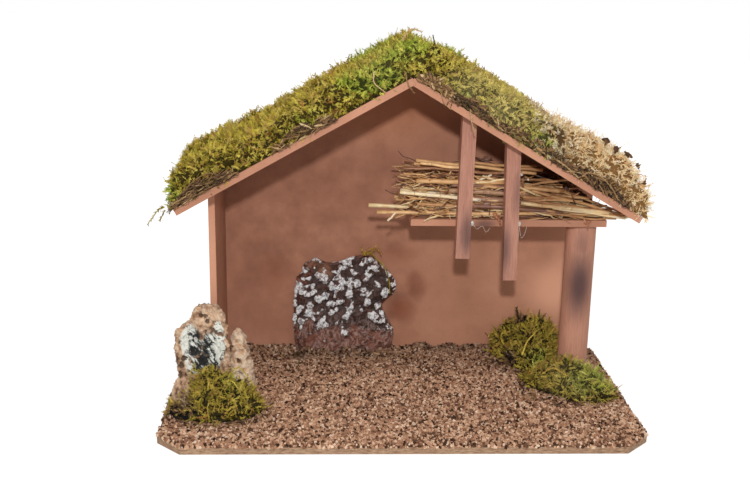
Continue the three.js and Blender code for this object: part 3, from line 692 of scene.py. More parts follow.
def bankShape():
    # Wedges of granules along the walls, before the hearth and round the column
    wall, side, column, hearth = (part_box(name) for name in ("back_wall", "left_side_wall", "round_column",
                                                            "hearth_bark"))
    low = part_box("base_board")[1][2] + 0.3 * mm
    high, wide = low + granules["bankHeight"] * mm, granules["bankWidth"] * mm
    gap = 0.2 * mm
    back, front, ahead = wall[0][1] - gap, side[0][1] - gap, hearth[0][1] + 1.5 * mm
    # each run's start and end, and which way it faces
    runs = [((side[1][0] + 0.3 * mm, back), (wall[1][0] - 0.3 * mm, back), (0, -1)),
            ((hearth[0][0] + 2 * mm, ahead), (hearth[1][0] - 5 * mm, ahead), (0, -1)),
            ((side[1][0] + gap, front), (side[1][0] + gap, back), (1, 0)),
            ((side[0][0] - gap, back + 4 * mm), (side[0][0] - gap, front), (-1, 0))]
    steps = 40
    shape = Shape()
    for (x0, y0), (x1, y1), (outX, outY) in runs:
        points = []
        for k in range(steps + 1):
            t = k / steps
            x, y = x0 + (x1 - x0) * t, y0 + (y1 - y0) * t
            swell = 0.85 + 0.8 * noise.noise(Vector((x, y, 0)) / (11 * mm))
            reach = wide * swell
            points += [(x, y, low), (x, y, low + (high - low) * swell),
                       (x + outX * reach, y + outY * reach, low)]
        faces = []
        for a in range(0, 3 * steps, 3):
            faces += [[a, a + 1, a + 4, a + 3], [a + 1, a + 2, a + 5, a + 4], [a + 2, a, a + 3, a + 5]]
        faces += [[2, 1, 0], [3 * steps, 3 * steps + 1, 3 * steps + 2]]
        shape.add(points, faces)

    centre = [(column[0][axis] + column[1][axis]) / 2 for axis in (0, 1)]
    radius = (column[1][0] - column[0][0]) / 2 + gap
    rings = [(radius, low), (radius, low + granules["footHeight"] * mm),
             (radius + granules["footWidth"] * mm, low)]
    count = 32
    points, faces = [], []
    for i in range(count):
        turn = 2 * math.pi * i / count
        points += [(centre[0] + r * math.cos(turn), centre[1] + r * math.sin(turn), z) for r, z in rings]
        a, b = 3 * i, 3 * ((i + 1) % count)
        faces += [[a, b, b + 1, a + 1], [a + 1, b + 1, b + 2, a + 2], [a + 2, b + 2, b, a]]
    shape.add(points, faces)
    return shape


def granuleBed(material):
    # The solid, its uneven top lowered to make room for the granules, and the banks
    bed = mergedCopy("cork_granules")
    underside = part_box("cork_granules")[0][2]
    for vertex in bed.vertices:
        if vertex.co.z > underside + 1 * mm:
            vertex.co.z -= granules["sink"] * mm
    bed.materials.append(material)
    bank = bankShape().build("granule_bank", material, smooth=False)
    work = bmesh.new()
    work.from_mesh(bed)
    work.from_mesh(bank.data)
    bmesh.ops.recalc_face_normals(work, faces=work.faces)
    work.to_mesh(bed)
    work.free()
    bpy.data.objects.remove(bank)
    return bed


def makeGranules():
    scatter = scatterTree("Scatter granules", granuleKinds(), granuleMaterial())
    bed = granuleBed(brownGlueMaterial())
    sizes = {"Smallest": granules["smallest"], "Largest": granules["largest"], "Lean": 3.1}
    for name, start, end in granules["spans"]:
        first = name == granules["spans"][0][0]
        piece = scatterOver(name, bed.copy(), scatter, {
            **sizes, "From X": start, "To X": end, "Spacing": granules["spacing"] * mm, "Lift": 0.3 * mm,
            "Lowest Facing": -0.3, "Seed": 11, "Keep Surface": first})
        finishPiece(piece, "cork_granule", *(["cork_granules"] if first else []))
    loose = scatterOver("granules_loose", bed.copy(), scatter, {
        **sizes, "From X": -1.0, "To X": 1.0, "Spacing": granules["topSpacing"] * mm, "Lift": 1.1 * mm,
        "Lowest Facing": 0.2, "Seed": 23, "Keep Surface": False})
    finishPiece(loose, "cork_granule")


makeGranules()
print("cork granules")


# Moss

moss = {
    "seed": 33, "kinds": 12, "stem": 0.26,      # mm, radius of a shoot's stem
    # kinds of shoot: lengths in mm, pairs of leaflets, arch as a share of the length, leaflet in mm
    "shoots": ((4.8, 8.6), 6, 0.6, 2.3),
    "curls": ((6, 10.5), 5, 1.1, 2.9),
    "sprays": ((4.5, 9.5), 7, 0.75, 2.1),
    # growth: voxel and lumps of the surface in mm, and the scatter tree's inputs
    "onRoof": (2.6, 2.4, {"Spacing": 1.66 * mm, "Smallest": 0.75, "Largest": 1.25, "Lean": 1.15,
                          "Comb": 1.0}),
    "dryOnRoof": (2.6, 2.4, {"Spacing": 1.8 * mm, "Smallest": 0.6, "Largest": 1.15, "Lean": 1.3,
                             "Comb": 1.1}),
    "onGround": (2.0, 5.0, {"Spacing": 1.58 * mm, "Smallest": 0.6, "Largest": 1.2, "Lean": 1.0,
                            "Comb": 0.9}),
    "inset": 4.5,                               # mm, growth starts under the surface
    "rockDips": [(-160, 18, 13)],               # lowered part of the rock's clump: X, reach and depth, mm
    "wander": (70, 20),                         # mm that noise and chance move the edge of the dry moss
    # colours from the darkest to the palest shoots
    "fresh": [(0.0, "#796822"), (0.13, "#a99732"), (0.35, "#d9c34c"), (0.65, "#f1e068"), (0.82, "#e4c66c"),
              (1.0, "#b4783c")],
    "lush": [(0.0, "#5d6c18"), (0.18, "#8ea02e"), (0.45, "#bccb48"), (0.78, "#e2e468"), (0.94, "#f0d966"),
             (1.0, "#c2924b")],
    "dried": [(0.0, "#b88850"), (0.1, "#f5ca92"), (0.4, "#ffe6b8"), (0.75, "#fff1d2"), (0.93, "#fae2a6"),
              (1.0, "#b47c46")],
    "debris": [(0.0, "#26211f"), (0.25, "#5f4733"), (0.5, "#8b6a4a"), (0.78, "#b99567"), (1.0, "#e0c89c")],
    "damp": [(0.0, "#5f5428"), (0.2, "#978334"), (0.5, "#cbb94a"), (0.75, "#e6cc60"), (1.0, "#bd8549")],
    "leafy": [(0.0, "#647525"), (0.2, "#98aa38"), (0.5, "#c4d054"), (0.8, "#e6e274"), (1.0, "#d0b264")],
    "bleached": "#fff0a0",
    # shade from foot to tip
    "shades": [(0.0, 0.25), (0.18, 0.7), (0.42, 1.0)], "dryShades": [(0.0, 0.45), (0.04, 0.75), (0.1, 1.0)],
    # centre, half sizes and strength of greener, dark brown and paler places, mm
    "lushSprays": [((-10, -20, 276), (46, 70, 24), 0.95), ((-28, -30, 254), (46, 44, 26), 0.9),
                   ((-70, -38, 222), (36, 16, 18), 0.6), ((-168, -34, 165), (16, 40, 22), 0.8),
                   ((95, -34, 208), (22, 30, 16), 0.75), ((40, -36, 240), (12, 14, 10), 0.7),
                   ((30, 60, 262), (60, 50, 30), 0.5), ((-26, 60, 268), (34, 60, 28), 0.8)],
    "darkSprays": [((-143, -38, 174), (23, 14, 13), 1.0), ((-72, -38, 216), (27, 12, 9), 0.9),
                   ((30, -38, 238), (30, 12, 8), 0.9), ((140, -36, 178), (26, 16, 15), 0.95),
                   ((70, -38, 215), (20, 12, 8), 0.7), ((112, -36, 192), (26, 12, 8), 0.7)],
    "paleSprays": [((66, -20, 226), (52, 90, 36), 0.66), ((-20, 0, 262), (40, 80, 26), 0.12),
                   ((140, -4, 20), (40, 36, 22), 0.34), ((48, -20, 246), (40, 70, 24), 0.5)],
    "dampSprays": [((92, -30, 206), (12, 20, 12), 0.6)],
    "groundLush": [((150, -6, 20), (32, 34, 24), 1.0), ((-128, -40, 26), (22, 24, 20), 0.35),
                   ((118, 30, 22), (22, 26, 20), 0.6)],
    "groundDark": [((92, 46, 16), (15, 24, 22), 0.85), ((106, 74, 44), (14, 18, 12), 0.7),
                   ((104, -14, 12), (22, 16, 8), 0.8), ((-160, -50, 14), (20, 22, 16), 1.0),
                   ((-140, -60, 8), (30, 10, 7), 0.6)],
}


def frond(length, pairs, arch, leaf):
    # One shoot along +Z: a thin arched stem with pointed leaflets on both sides
    bend = random.uniform(-0.5, 0.5) * arch

    def stem(s):
        rise = length * (s - 0.25 * s * s * arch / length)
        return Vector((arch * s * s, bend * s * s * (1 - 0.4 * s), rise)) * mm

    shape = Shape()
    segments, sides, leaves = 3, 3, 2 * pairs - 1
    shares = [k / segments for k in range(segments + 1)]
    tube(shape, [stem(s) for s in shares], [moss["stem"] * mm * (1 - 0.7 * s) for s in shares], sides=sides,
         along=[0.45 * s for s in shares for side in range(sides)])
    for i in range(leaves):
        s = 0.14 + 0.86 * i / leaves
        foot, ahead = stem(s), (stem(min(s + 0.05, 1.05)) - stem(s)).normalized()
        side = Vector((0, 1, 0)).cross(ahead).cross(ahead).normalized() * (1 if i % 2 else -1)
        side = (side + Vector([random.uniform(-0.5, 0.5) for c in range(3)])).normalized()
        last = i == leaves - 1      # the one at the tip points on along the stem
        if last:
            side = side * 0.1
        aim = (ahead * random.uniform(0.6, 1.0) + side * random.uniform(0.7, 1.0)).normalized()
        across = aim.cross(Vector((0, 1, 0)) if last else side.cross(aim)).normalized()
        if across.length < 0.5:
            across = aim.orthogonal()
        reach = leaf * (1 - 0.45 * s) * random.uniform(0.75, 1.25)
        leaflet(shape, foot, aim, across, 0.36 * (1.2 - 0.4 * s), 0.22, reach,
                along=[0.4 * s, 0.4 * s, 0.35 * s, 0.5 + 0.5 * s])
    return shape


def mossKinds(name, lengths, pairs, arch, leaf):
    random.seed(moss["seed"])
    pieces = []
    for kind in range(moss["kinds"]):
        length = random.uniform(*lengths)
        shape = frond(length, pairs, random.uniform(0.3, 1.0) * arch * length, leaf)
        pieces.append(shape.build(f"{name}_{kind:02d}", smooth=False))
    return hiddenCollection(name, pieces)


def mossMaterial(name, main, other, otherSprays, darkSprays, shades, paintedGapShade, dry=None):
    # Sheet moss: each shoot pales from painted shade at its foot to its tip, with painted shade on the bare
    # surface under the shoots and in patchy hollows between tufts, and other greens and brown thatch in
    # places;
    # dry is where along X, in mm, it turns to tan
    material, add, coords = startMaterial(name)
    tint, along = (add("ShaderNodeAttribute", attribute_name=key).outputs["Fac"] for key in ("tint", "along"))
    region = add("ShaderNodeTexNoise", [coords, 1 / (16 * mm), 4, 0.65])
    patchy = add("ShaderNodeTexNoise", [coords, 1 / (7 * mm)])
    fine = add("ShaderNodeTexNoise", [coords, 1 / (6 * mm), 3])
    chance = add("ShaderNodeMath", [tint, 0.5, region], operation="MULTIPLY_ADD")
    sprayed = add("ShaderNodeMath", [colourAndLightPatches(add, coords, moss[otherSprays]), chance], operation="ADD")
    sprayed = add("ShaderNodeMapRange", [sprayed, 0.95, 1.25, 0, 1])
    colour = coat(add, add("ShaderNodeValToRGB", [tint], stops=moss[main]), [
        (sprayed, add("ShaderNodeValToRGB", [tint], stops=moss[other])),
        (colourAndLightPatches(add, coords, moss["paleSprays"]), moss["bleached"])])
    if dry:
        byNoise, byChance = moss["wander"]
        middle = (byNoise + byChance) / 2
        place = add("ShaderNodeSeparateXYZ", [coords]).outputs["X"]
        place = add("ShaderNodeMath", [region, byNoise * mm, place], operation="MULTIPLY_ADD")
        place = add("ShaderNodeMath", [tint, byChance * mm, place], operation="MULTIPLY_ADD")
        share = add("ShaderNodeMapRange", [place, (dry[0] + middle) * mm, (dry[1] + middle) * mm, 0, 1])
        colour = coat(add, colour, [(share, add("ShaderNodeValToRGB", [tint], stops=moss["dried"]))])
    edge = add("ShaderNodeMath", [colourAndLightPatches(add, coords, moss[darkSprays]), fine], operation="ADD")
    thatch = add("ShaderNodeValToRGB", [tint], stops=moss["debris"])
    colour = coat(add, colour, [(add("ShaderNodeMapRange", [edge, 0.8, 1, 0, 1]), thatch)])
    # painted shade: dark at each shoot's foot and on the bare surface, pale at the tips, and darker in patchy
    # hollows between tufts
    colour = coat(add, colour, [(1, add("ShaderNodeValToRGB", [along], stops=moss[shades])),
                                (1, add("ShaderNodeMapRange", [patchy, 0.4, 0.54, paintedGapShade, 1]))], "MULTIPLY")
    setFinish(add, {"Base Color": colour, "Roughness": 0.7, "Specular IOR Level": 0.15})
    return material


def growMoss(node, slot, material, scatter, count, away, growth, dips=()):
    # Moss in count pieces over a lumpy copy of the solid; the side that lies on its support isn't drawn in
    voxel, lumps, inputs = moss[growth]
    away = Vector(away).normalized()
    base = evenCopy(node, voxel)

    def moved(vertex):
        lying = ease(-0.75, -0.3, vertex.normal.dot(away))
        lump = sum(share * noise.noise(vertex.co / (size * mm))
                   for share, size in ((1, 9), (0.6, 3.5), (2.2, 24)))
        for x, reach, depth in dips:
            lower = ease(reach, 0, abs(vertex.co.x / mm - x)) * ease(14, 28, vertex.co.z / mm)
            vertex.co.z -= depth * mm * lower
        return vertex.co + vertex.normal * mm * lying * (lumps * lump - moss["inset"])

    reshape(base, moved)
    base.materials.append(material)
    (low, *_), (high, *_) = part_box(node)
    edges = [low + (high - low) * k / count for k in range(count + 1)]
    edges[0] -= 20 * mm     # shoots at the ends lean out
    edges[-1] += 20 * mm
    for number in range(count):
        piece = scatterOver(f"{node}_{number + 1}" if count > 1 else node + "_grown", base.copy(), scatter, {
            **inputs, "From X": edges[number], "To X": edges[number + 1], "Lift": -0.4 * mm,
            "Lowest Facing": -0.45, "Seed": 3, "Keep Surface": number == 0})
        finishPiece(piece, slot, *([node] if number == 0 else []))


def makeMoss():
    green = mossMaterial("sheet moss, golden over green", "fresh", "lush", "lushSprays", "darkSprays",
                         "shades", 0.68, (99, 101))
    tan = mossMaterial("sheet moss, dried to tan", "dried", "fresh", "dampSprays", "darkSprays",
                       "dryShades", 1, (91, 94))
    ground = mossMaterial("sheet moss on the ground", "damp", "leafy", "groundLush", "groundDark",
                          "shades", 0.66)
    onRoof = scatterTree("Grow roof moss", mossKinds("moss_shoots", *moss["shoots"]), green)
    onDry = scatterTree("Grow dried moss", mossKinds("moss_curls", *moss["curls"]), tan)
    onGround = scatterTree("Grow ground moss", mossKinds("moss_sprays", *moss["sprays"]), ground)
    leftAway, rightAway = (-0.49, 0, 0.87), (0.5, 0, 0.865)
    growMoss("roof_moss_left", "green_moss", green, onRoof, 4, leftAway, "onRoof")
    growMoss("roof_moss_right", "green_moss", green, onRoof, 3, rightAway, "onRoof")
    growMoss("roof_moss_dry", "dry_moss", tan, onDry, 2, rightAway, "dryOnRoof")
    for node, dips in (("moss_clump_wall", ()), ("moss_clump_column", ()),
                       ("moss_clump_rock", moss["rockDips"])):
        growMoss(node, "green_moss", ground, onGround, 1, (0, 0, 1), "onGround", dips)
    return ground


groundMoss = makeMoss()
print("moss")


# Straw in the loft

straw = {
    "seed": 8, "fineCount": 400, "bladeCount": 420,
    "front": -1.0, "back": 60.0, "top": 192,        # mm, limits of the fine straw in Y and Z
    "leftEnds": (-6, -2, 2, 5, 9), "rightEnd": 162,     # mm, X where the fine straw starts and ends
    "flatAbove": 174, "sinkRightOf": 70,            # mm, Z and X from where stalks lie flatter, and sink
    "fineLength": (14, 80), "bladeLength": (5, 22), "bladeWidth": (0.6, 1.8), "pile": 34,    # mm
    "fineRadii": (0.26, 0.34, 0.42, 0.52, 0.66, 0.85, 1.1, 1.4),        # mm
    "fineTints": (0.03, 0.1, 0.18, 0.28, 0.36, 0.44, 0.52, 0.6, 0.7, 0.82),
    "bladeTints": (0.12, 0.25, 0.4, 0.5, 0.55, 0.6, 0.7, 0.84),
    "stalkTints": (0.12, 0.2, 0.3, 0.42, 0.55, 0.66, 0.8),
    "heapVoxel": 2.2, "heapInset": 4.5, "heapLumps": 2.0,       # mm, surface behind the stalks
    # stalks that stand out: tint, thickness and the shift of each end, mm
    "marked": {"05": (0.8, 1.15, (0, 0, 0), (16, 2, -6)), "03": (0.62, 1.15, (0, 0, 0), (9, -6, -0.5)),
               "11": (0.9, 1.05, (-10, 2, 2.3), (10, -2, -10)), "12": (0.82, 0.8, (-8, -3, 4), (0, 0, -5)),
               "17": (0.66, 1.3, (6, -4, -0.6), (4, 0, -8)), "23": (0.6, 0.95, (7, 3, 2.5), (0, 0, -7)),
               "20": (0.5, 0.8, (-4, 0, -1), (0, 0, -6)), "15": (0.1, 0.45, (-4, 0, 0), (-20, 0, -6)),
               "07": (0.45, 1.0, (3, -3, 0), (18, -4, -8)), "09": (0.35, 1.1, (2, -4, 0), (22, 0, -8))},
    # more stalks, most of them in the bundle's right end: start, end in mm, radius and tint
    "gathered": [((96, 0, 168), (174, 2, 147.6), 1.2, 0.6), ((104, 3, 160), (176.5, 0, 147.2), 1.0, 0.85),
                 ((90, -0.5, 162), (168, -2, 148.5), 1.3, 0.4), ((110, 4, 170), (171, 5, 149.5), 0.9, 0.7),
                 ((88, 2, 171), (126, 3, 176), 0.9, 0.62), ((86, 4, 165), (134, 2, 170), 0.8, 0.3),
                 ((100, 7, 156), (173, 6, 148.5), 1.1, 0.5),
                 ((119.6, 0, 148.6), (120.5, 16, 149.4), 1.7, 0.92),
                 ((-11, -2.2, 144.4), (-5, -0.5, 150.6), 0.8, 0.9), ((57, -1, 176), (66, 3, 179), 0.9, 1.0)],
    # thick stalks in the bundle's front: start, end in mm, radius and tint
    "thick": [((9.5, -2.6, 175), (75, -0.6, 174.2), 1.8, 0.58),
              ((-2.5, -3, 166.6), (58, -1.6, 160.8), 1.5, 0.9),
              ((51, -2.6, 173.6), (76, -2.4, 177), 0.8, 0.84),
              ((88, -2.8, 159), (155, -2.2, 151.8), 1.5, 0.8),
              ((86, -2.4, 166.6), (118, 14, 170.5), 0.9, 0.7),
              ((89, -2.6, 163.6), (128, 2, 161), 1.1, 0.45),
              ((112, -3, 155.4), (168, -2.4, 147.8), 1.0, 0.86),
              ((12, -2.4, 188.5), (52, -1.4, 183.8), 1.2, 0.7)],
    # thick stained stalks between the sticks
    "stained": [((34, -0.6, 167.5), (94, 0, 165), 1.9, 0.62),
                ((38, -0.8, 162.6), (98, 0.5, 158.5), 2.1, 0.35),
                ((36, 0, 171.6), (88, 2, 170), 1.3, 0.3), ((40, -1, 157.5), (120, 0, 151.5), 1.5, 0.25)],
    # thin dark twigs as points, mm
    "twigs": [[(-4, 4, 196), (0, 4, 192), (5, 4, 190.5), (10, 5, 188)],
              [(-2, 4, 173.5), (3, 3, 171), (8, 3, 168)],
              [(-13, 3, 167), (-7, 3, 164), (-1, 4, 163.5)],
              [(64, -0.6, 172), (65.5, -1.4, 160), (65, -1.6, 148.5)],
              [(-3, 5, 184), (2, 4, 181.5), (8, 5, 182)]],
    "tints": [(0.0, "#513324"), (0.14, "#835539"), (0.3, "#ac7852"), (0.5, "#d39f69"), (0.7, "#f0c289"),
              (0.86, "#fae2b0"), (1.0, "#f0e4d2")],
    "lines": [(0.35, 0.62), (0.6, 1.0)],
    "knuckle": "#7b5430", "violet": "#7d5a54", "dull": "#9a826e", "hole": "#5b4226",
    # dull and the sprays below are painted shadow of the roof over the bundle's right end
    "paintedRoofShadowSprays": [((112, 20, 166), (44, 90, 44), 0.75)],
}


def strawMaterial():
    # Wheat straw: glossy gold skin with fine lines along it, brown at the knuckles and in its bore, with
    # painted shadow of the roof over the bundle's right end
    material, add, coords = startMaterial("wheat straw")
    tint, bore, knuckle, stained = (add("ShaderNodeAttribute", attribute_name=key).outputs["Fac"]
                                    for key in ("tint", "bore", "knuckle", "stained"))
    drawn = add("ShaderNodeMapping", {"Vector": coords, "Scale": (0.06, 1, 1)})
    lines = add("ShaderNodeTexNoise", [drawn, 1 / (0.7 * mm)])
    blotch = add("ShaderNodeTexNoise", [coords, 1 / (6 * mm), 3])
    place = add("ShaderNodeMath", [blotch, 0.5], operation="SUBTRACT")
    place = add("ShaderNodeMath", [place, 0.5, tint], operation="MULTIPLY_ADD")
    colour = add("ShaderNodeValToRGB", [place], stops=straw["tints"])
    colour = coat(add, colour, [(0.7, add("ShaderNodeValToRGB", [lines], stops=straw["lines"]))], "MULTIPLY")
    dark = add("ShaderNodeMath", [knuckle, 0.5], operation="MULTIPLY")
    colour = coat(add, colour, [(dark, straw["knuckle"]), (stained, straw["violet"])])
    # painted shadow of the roof over the bundle's right end
    colour = coat(add, colour, [(colourAndLightPatches(add, coords, straw["paintedRoofShadowSprays"]), straw["dull"])], "MULTIPLY")
    colour = coat(add, colour, [(add("ShaderNodeMath", [bore, 0.7], operation="MULTIPLY"), straw["hole"])])
    setFinish(add, {"Base Color": colour, "Roughness": 0.42}, lines, 0.06)
    return material


def stalkEnds(node):
    # Middle of each end of a stalk, and its radius
    points = [v.co.copy() for v in nodes[node].data.vertices]
    low, high = min(p.x for p in points), max(p.x for p in points)
    ends = []
    for x in (low, high):
        chosen = [p for p in points if abs(p.x - x) < 0.8 * mm]
        middle = sum(chosen, Vector()) / len(chosen)
        ends.append((middle, max((p - middle).length for p in chosen)))
    return ends


def strawStem(shape, start, end, radius, tint, sides=8, hollow=True, bend=0.5, stained=0.0, segments=14):
    # Straw between two ends with a slight bend, one or two knuckles and hollow cut ends
    knots = sorted(random.uniform(0.12, 0.88) for k in range(2 if (end - start).length > 60 * mm else 1))
    phase = random.uniform(0, 100)
    shares = sorted({k / segments for k in range(segments + 1)}
                    | {k + o for k in knots for o in (-0.012, 0, 0.012)})
    path, radii, marks = [], [], []
    for s in shares:
        wobble = Vector((0, noise.noise(Vector((phase, s * 3, 0))), noise.noise(Vector((phase, s * 3, 9)))))
        path.append(start.lerp(end, s) + wobble * bend * mm * math.sin(math.pi * s))
        near = max(0.0, 1 - min(abs(s - k) for k in knots) / 0.011)
        radii.append(radius * (1 + 0.2 * near) * (1 + 0.05 * noise.noise(Vector((phase, s * 6, 20)))))
        marks += [near] * sides
    tube(shape, path, radii, sides=sides, hollow=hollow, tint=tint, stained=stained, knuckle=marks)


def makeStalks(material, floor):
    # Each stalk of the solids as a straw; the marked ones follow the photograph
    for name in sorted(name for name in nodes if name.startswith("straw_stalk_")):
        (start, radius), (end, other) = stalkEnds(name)
        tint = random.choice(straw["stalkTints"])
        thick, bend = random.uniform(0.45, 1.0), 4.0
        first = Vector((random.uniform(-5, 14), 0, random.uniform(-1.5, 1.5)))
        last = Vector((random.uniform(-35, 12), 0, random.uniform(-6, 0)))
        if name[-2:] in straw["marked"]:
            tint, thick, first, last = straw["marked"][name[-2:]]
            bend = 1.6
        start, end = start + Vector(first) * mm, end + Vector(last) * mm
        end.z = max(end.z, floor + 1.5 * mm)
        shape = Shape()
        strawStem(shape, start, end, 0.5 * (radius + other) * thick, tint, bend=bend)
        finishPiece(shape.build(name + "_straw", material), "straw", name)


def makeHeap(material):
    # Lumpy surface deep in the bundle, so that no light comes through
    base = evenCopy("straw_bed", straw["heapVoxel"])

    def moved(vertex):
        lump = noise.noise(vertex.co / (8 * mm)) + 0.5 * noise.noise(vertex.co / (3.2 * mm))
        return vertex.co + vertex.normal * mm * (straw["heapLumps"] * lump - straw["heapInset"])

    reshape(base, moved)
    base.materials.append(material)
    store(base, "tint", [0.2 + 0.3 * noise.noise(vertex.co / (4 * mm)) for vertex in base.vertices])
    finishPiece(newObject("straw_heap", base), "straw", "straw_bed")


def addFineStalks(shape, floor):
    # Thin stalks at random, mostly level, that keep clear of the shelf, the roof and the bundle's ends
    low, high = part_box("straw_bed")
    placed = 0
    while placed < straw["fineCount"]:
        length = random.uniform(*straw["fineLength"]) * mm
        middle = Vector((random.uniform(low[0] - 6 * mm, high[0]),
                         random.uniform(straw["front"], straw["back"]) * mm, 0))
        pile = straw["pile"] * mm * (0.8 + 0.3 * noise.noise(Vector((middle.x, middle.y, 0)) / (22 * mm)))
        middle.z = floor + random.uniform(1.5 * mm, pile + 4 * mm)
        turn = random.gauss(0, 0.16 if random.random() < 0.5 else 0.6)
        climb = random.gauss(0, 0.12 if random.random() < 0.55 else 0.45)
        if middle.z > straw["flatAbove"] * mm:
            climb *= 0.25
        if middle.x > straw["sinkRightOf"] * mm:
            climb -= 0.12
        aim = Vector((math.cos(turn), math.sin(turn), math.sin(climb))).normalized()
        start, end = middle - aim * length / 2, middle + aim * length / 2
        if min(start.y, end.y) < -2.5 * mm or max(start.y, end.y) > 86 * mm:
            continue
        leftmost, rightmost = random.choice(straw["leftEnds"]) * mm, straw["rightEnd"] * mm
        if start.x < leftmost or end.x > rightmost or min(start.z, end.z) < floor + 0.8 * mm:
            continue
        if any(p.z > roofHeight(p.x, roof["under"]) for p in (start, middle, end)):
            continue
        if max(start.z, end.z) > straw["top"] * mm:
            continue
        radius = random.choice(straw["fineRadii"]) * mm
        betweenSticks = 44 * mm < middle.x < 80 * mm
        stained = 0.85 if betweenSticks and random.random() < 0.4 else 0.0
        tint = random.choice(straw["fineTints"])
        strawStem(shape, start, end, radius, tint, sides=5, hollow=False, bend=random.uniform(1.0, 6.0),
                  stained=stained, segments=8)
        placed += 1


def addBlades(shape, floor):
    # Dry leaf blades and chaff, thickest at the bundle's left end
    for i in range(straw["bladeCount"]):
        x = random.choice((random.uniform(0, 36), random.uniform(2, 75), random.uniform(2, 145))) * mm
        z = floor + random.uniform(1.5, straw["pile"]) * mm * (1.0 if x < 90 * mm else 0.7)
        centre = Vector((x, random.choice((random.uniform(-2, 6), random.uniform(-2, 40))) * mm, z))
        if centre.z > roofHeight(centre.x, roof["under"]) - 1.5 * mm:
            continue
        turn, climb = random.gauss(0, 0.5), random.gauss(0, 0.16 if random.random() < 0.5 else 0.6)
        aim = Vector((math.cos(turn) * math.cos(climb), math.sin(turn) * math.cos(climb), math.sin(climb)))
        length, width = random.uniform(*straw["bladeLength"]) * mm, random.uniform(*straw["bladeWidth"]) * mm
        curl = random.uniform(-0.5, 0.5)
        scrap(shape, centre, aim, length, width, curl, tint=random.choice(straw["bladeTints"]))


def makeStraw():
    random.seed(straw["seed"])
    material = strawMaterial()
    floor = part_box("loft_shelf")[1][2]
    makeStalks(material, floor)
    makeHeap(material)
    fine = Shape()
    addFineStalks(fine, floor)
    for key, bend, violet in (("gathered", 1.5, 0.0), ("thick", 0.7, 0.0), ("stained", 2, 0.6)):
        for start, end, radius, tint in straw[key]:
            strawStem(fine, Vector(start) * mm, Vector(end) * mm, radius * mm, tint, bend=bend,
                      stained=violet)
    for points in straw["twigs"]:
        path = smoothPath(points, 6)
        tube(fine, path, [(0.35 + 0.12 * noise.noise(p / (2 * mm))) * mm for p in path], sides=5, tint=0.04)
    addBlades(fine, floor)
    finishPiece(fine.build("fine_straw", material), "straw")


makeStraw()
print("straw")


# Bark: hearth and rocks

bark = {
    "voxel": 0.85,      # mm
    "hearth": {"dark": "#3a2722", "body": "#8a5240", "red": "#94604e", "ring": "#37201a", "bare": "#9a6a4c",
               "wisp": "#cdb4ab", "chalk": "#8f95a6", "white": "#f1f2f2"},
    "knob": 7.8, "knobHeight": 2.8, "knobSink": 1.7,    # mm, spacing and relief of the hearth's knobs
    "corner": (-79, 76), "cornerRise": 4.2,             # mm, X and Z of its top left corner, and how it grows
    # in the rock's tones, crack is painted shade and the tone after it a painted highlight
    "rock": {"tan": "#deb491", "deep": "#a67c5e", "pale": "#f2d6b8", "crack": "#4a3324", "crest": "#f6dfc4",
             "black": "#1d1d1c", "grey": "#6b706c", "white": "#f0f1e8"},
    # pits in the low rock and the tall one's top: X, Z and size, mm
    "pits": [(-124.5, 49.4, 1.6), (-120.8, 42.1, 2.0), (-123.5, 35.6, 1.7), (-118.5, 28, 1.8),
             (-117, 36, 1.2), (-145, 68, 2.2), (-150, 73, 1.5), (-136, 60, 1.6), (-164, 38, 1.8)],
    "lowRockFrom": -128.5, "lowRockFuller": 1.6,            # mm, the low rock starts here in X and is fuller
    # centre, half sizes and strength, mm: bare rim of the hearth, painted hollow of the tall rock,
    # and the places in it where white or black is brushed most
    "rim": [((-72, 80, 90), (20, 20, 12), 0.9), ((-58, 80, 80), (10, 20, 12), 0.8),
            ((-84, 80, 70), (8, 20, 14), 0.5)],
    "hollow": [((-158, -14, 51), (12, 30, 24), 1.0), ((-141, -14, 46), (14, 30, 19), 1.0),
               ((-148, -14, 31), (18, 30, 15), 1.0), ((-137, -12, 63), (6, 30, 9), 0.6)],
    "whitened": [((-163, -14, 54), (11, 30, 18), 0.7), ((-138, -14, 46), (10, 30, 12), 0.7),
                 ((-137, -12, 64), (8, 30, 9), 0.9)],
    "blackened": [((-150, -14, 58), (6, 30, 12), 0.7), ((-157, -14, 45), (8, 30, 7), 0.5),
                  ((-149, -14, 38), (7, 30, 12), 0.8), ((-140, -14, 30), (12, 30, 8), 0.6),
                  ((-155, -14, 28), (12, 30, 7), 0.4)],
}


def makeRelief(node, name, slot, relief, material):
    # Finely meshed copy of a solid whose surface is moved by a function of place in mm and normal
    mesh = evenCopy(node, bark["voxel"])
    made = [relief(vertex.co / mm, vertex.normal) for vertex in mesh.vertices]
    reshape(mesh, lambda vertex: vertex.co + vertex.normal * made[vertex.index][0] * mm)
    for key, values in zip(("height", "paint"), zip(*made)):
        store(mesh, key, values)
    mesh.materials.append(material)
    mesh.shade_smooth()
    finishPiece(newObject(name, mesh), slot, node)


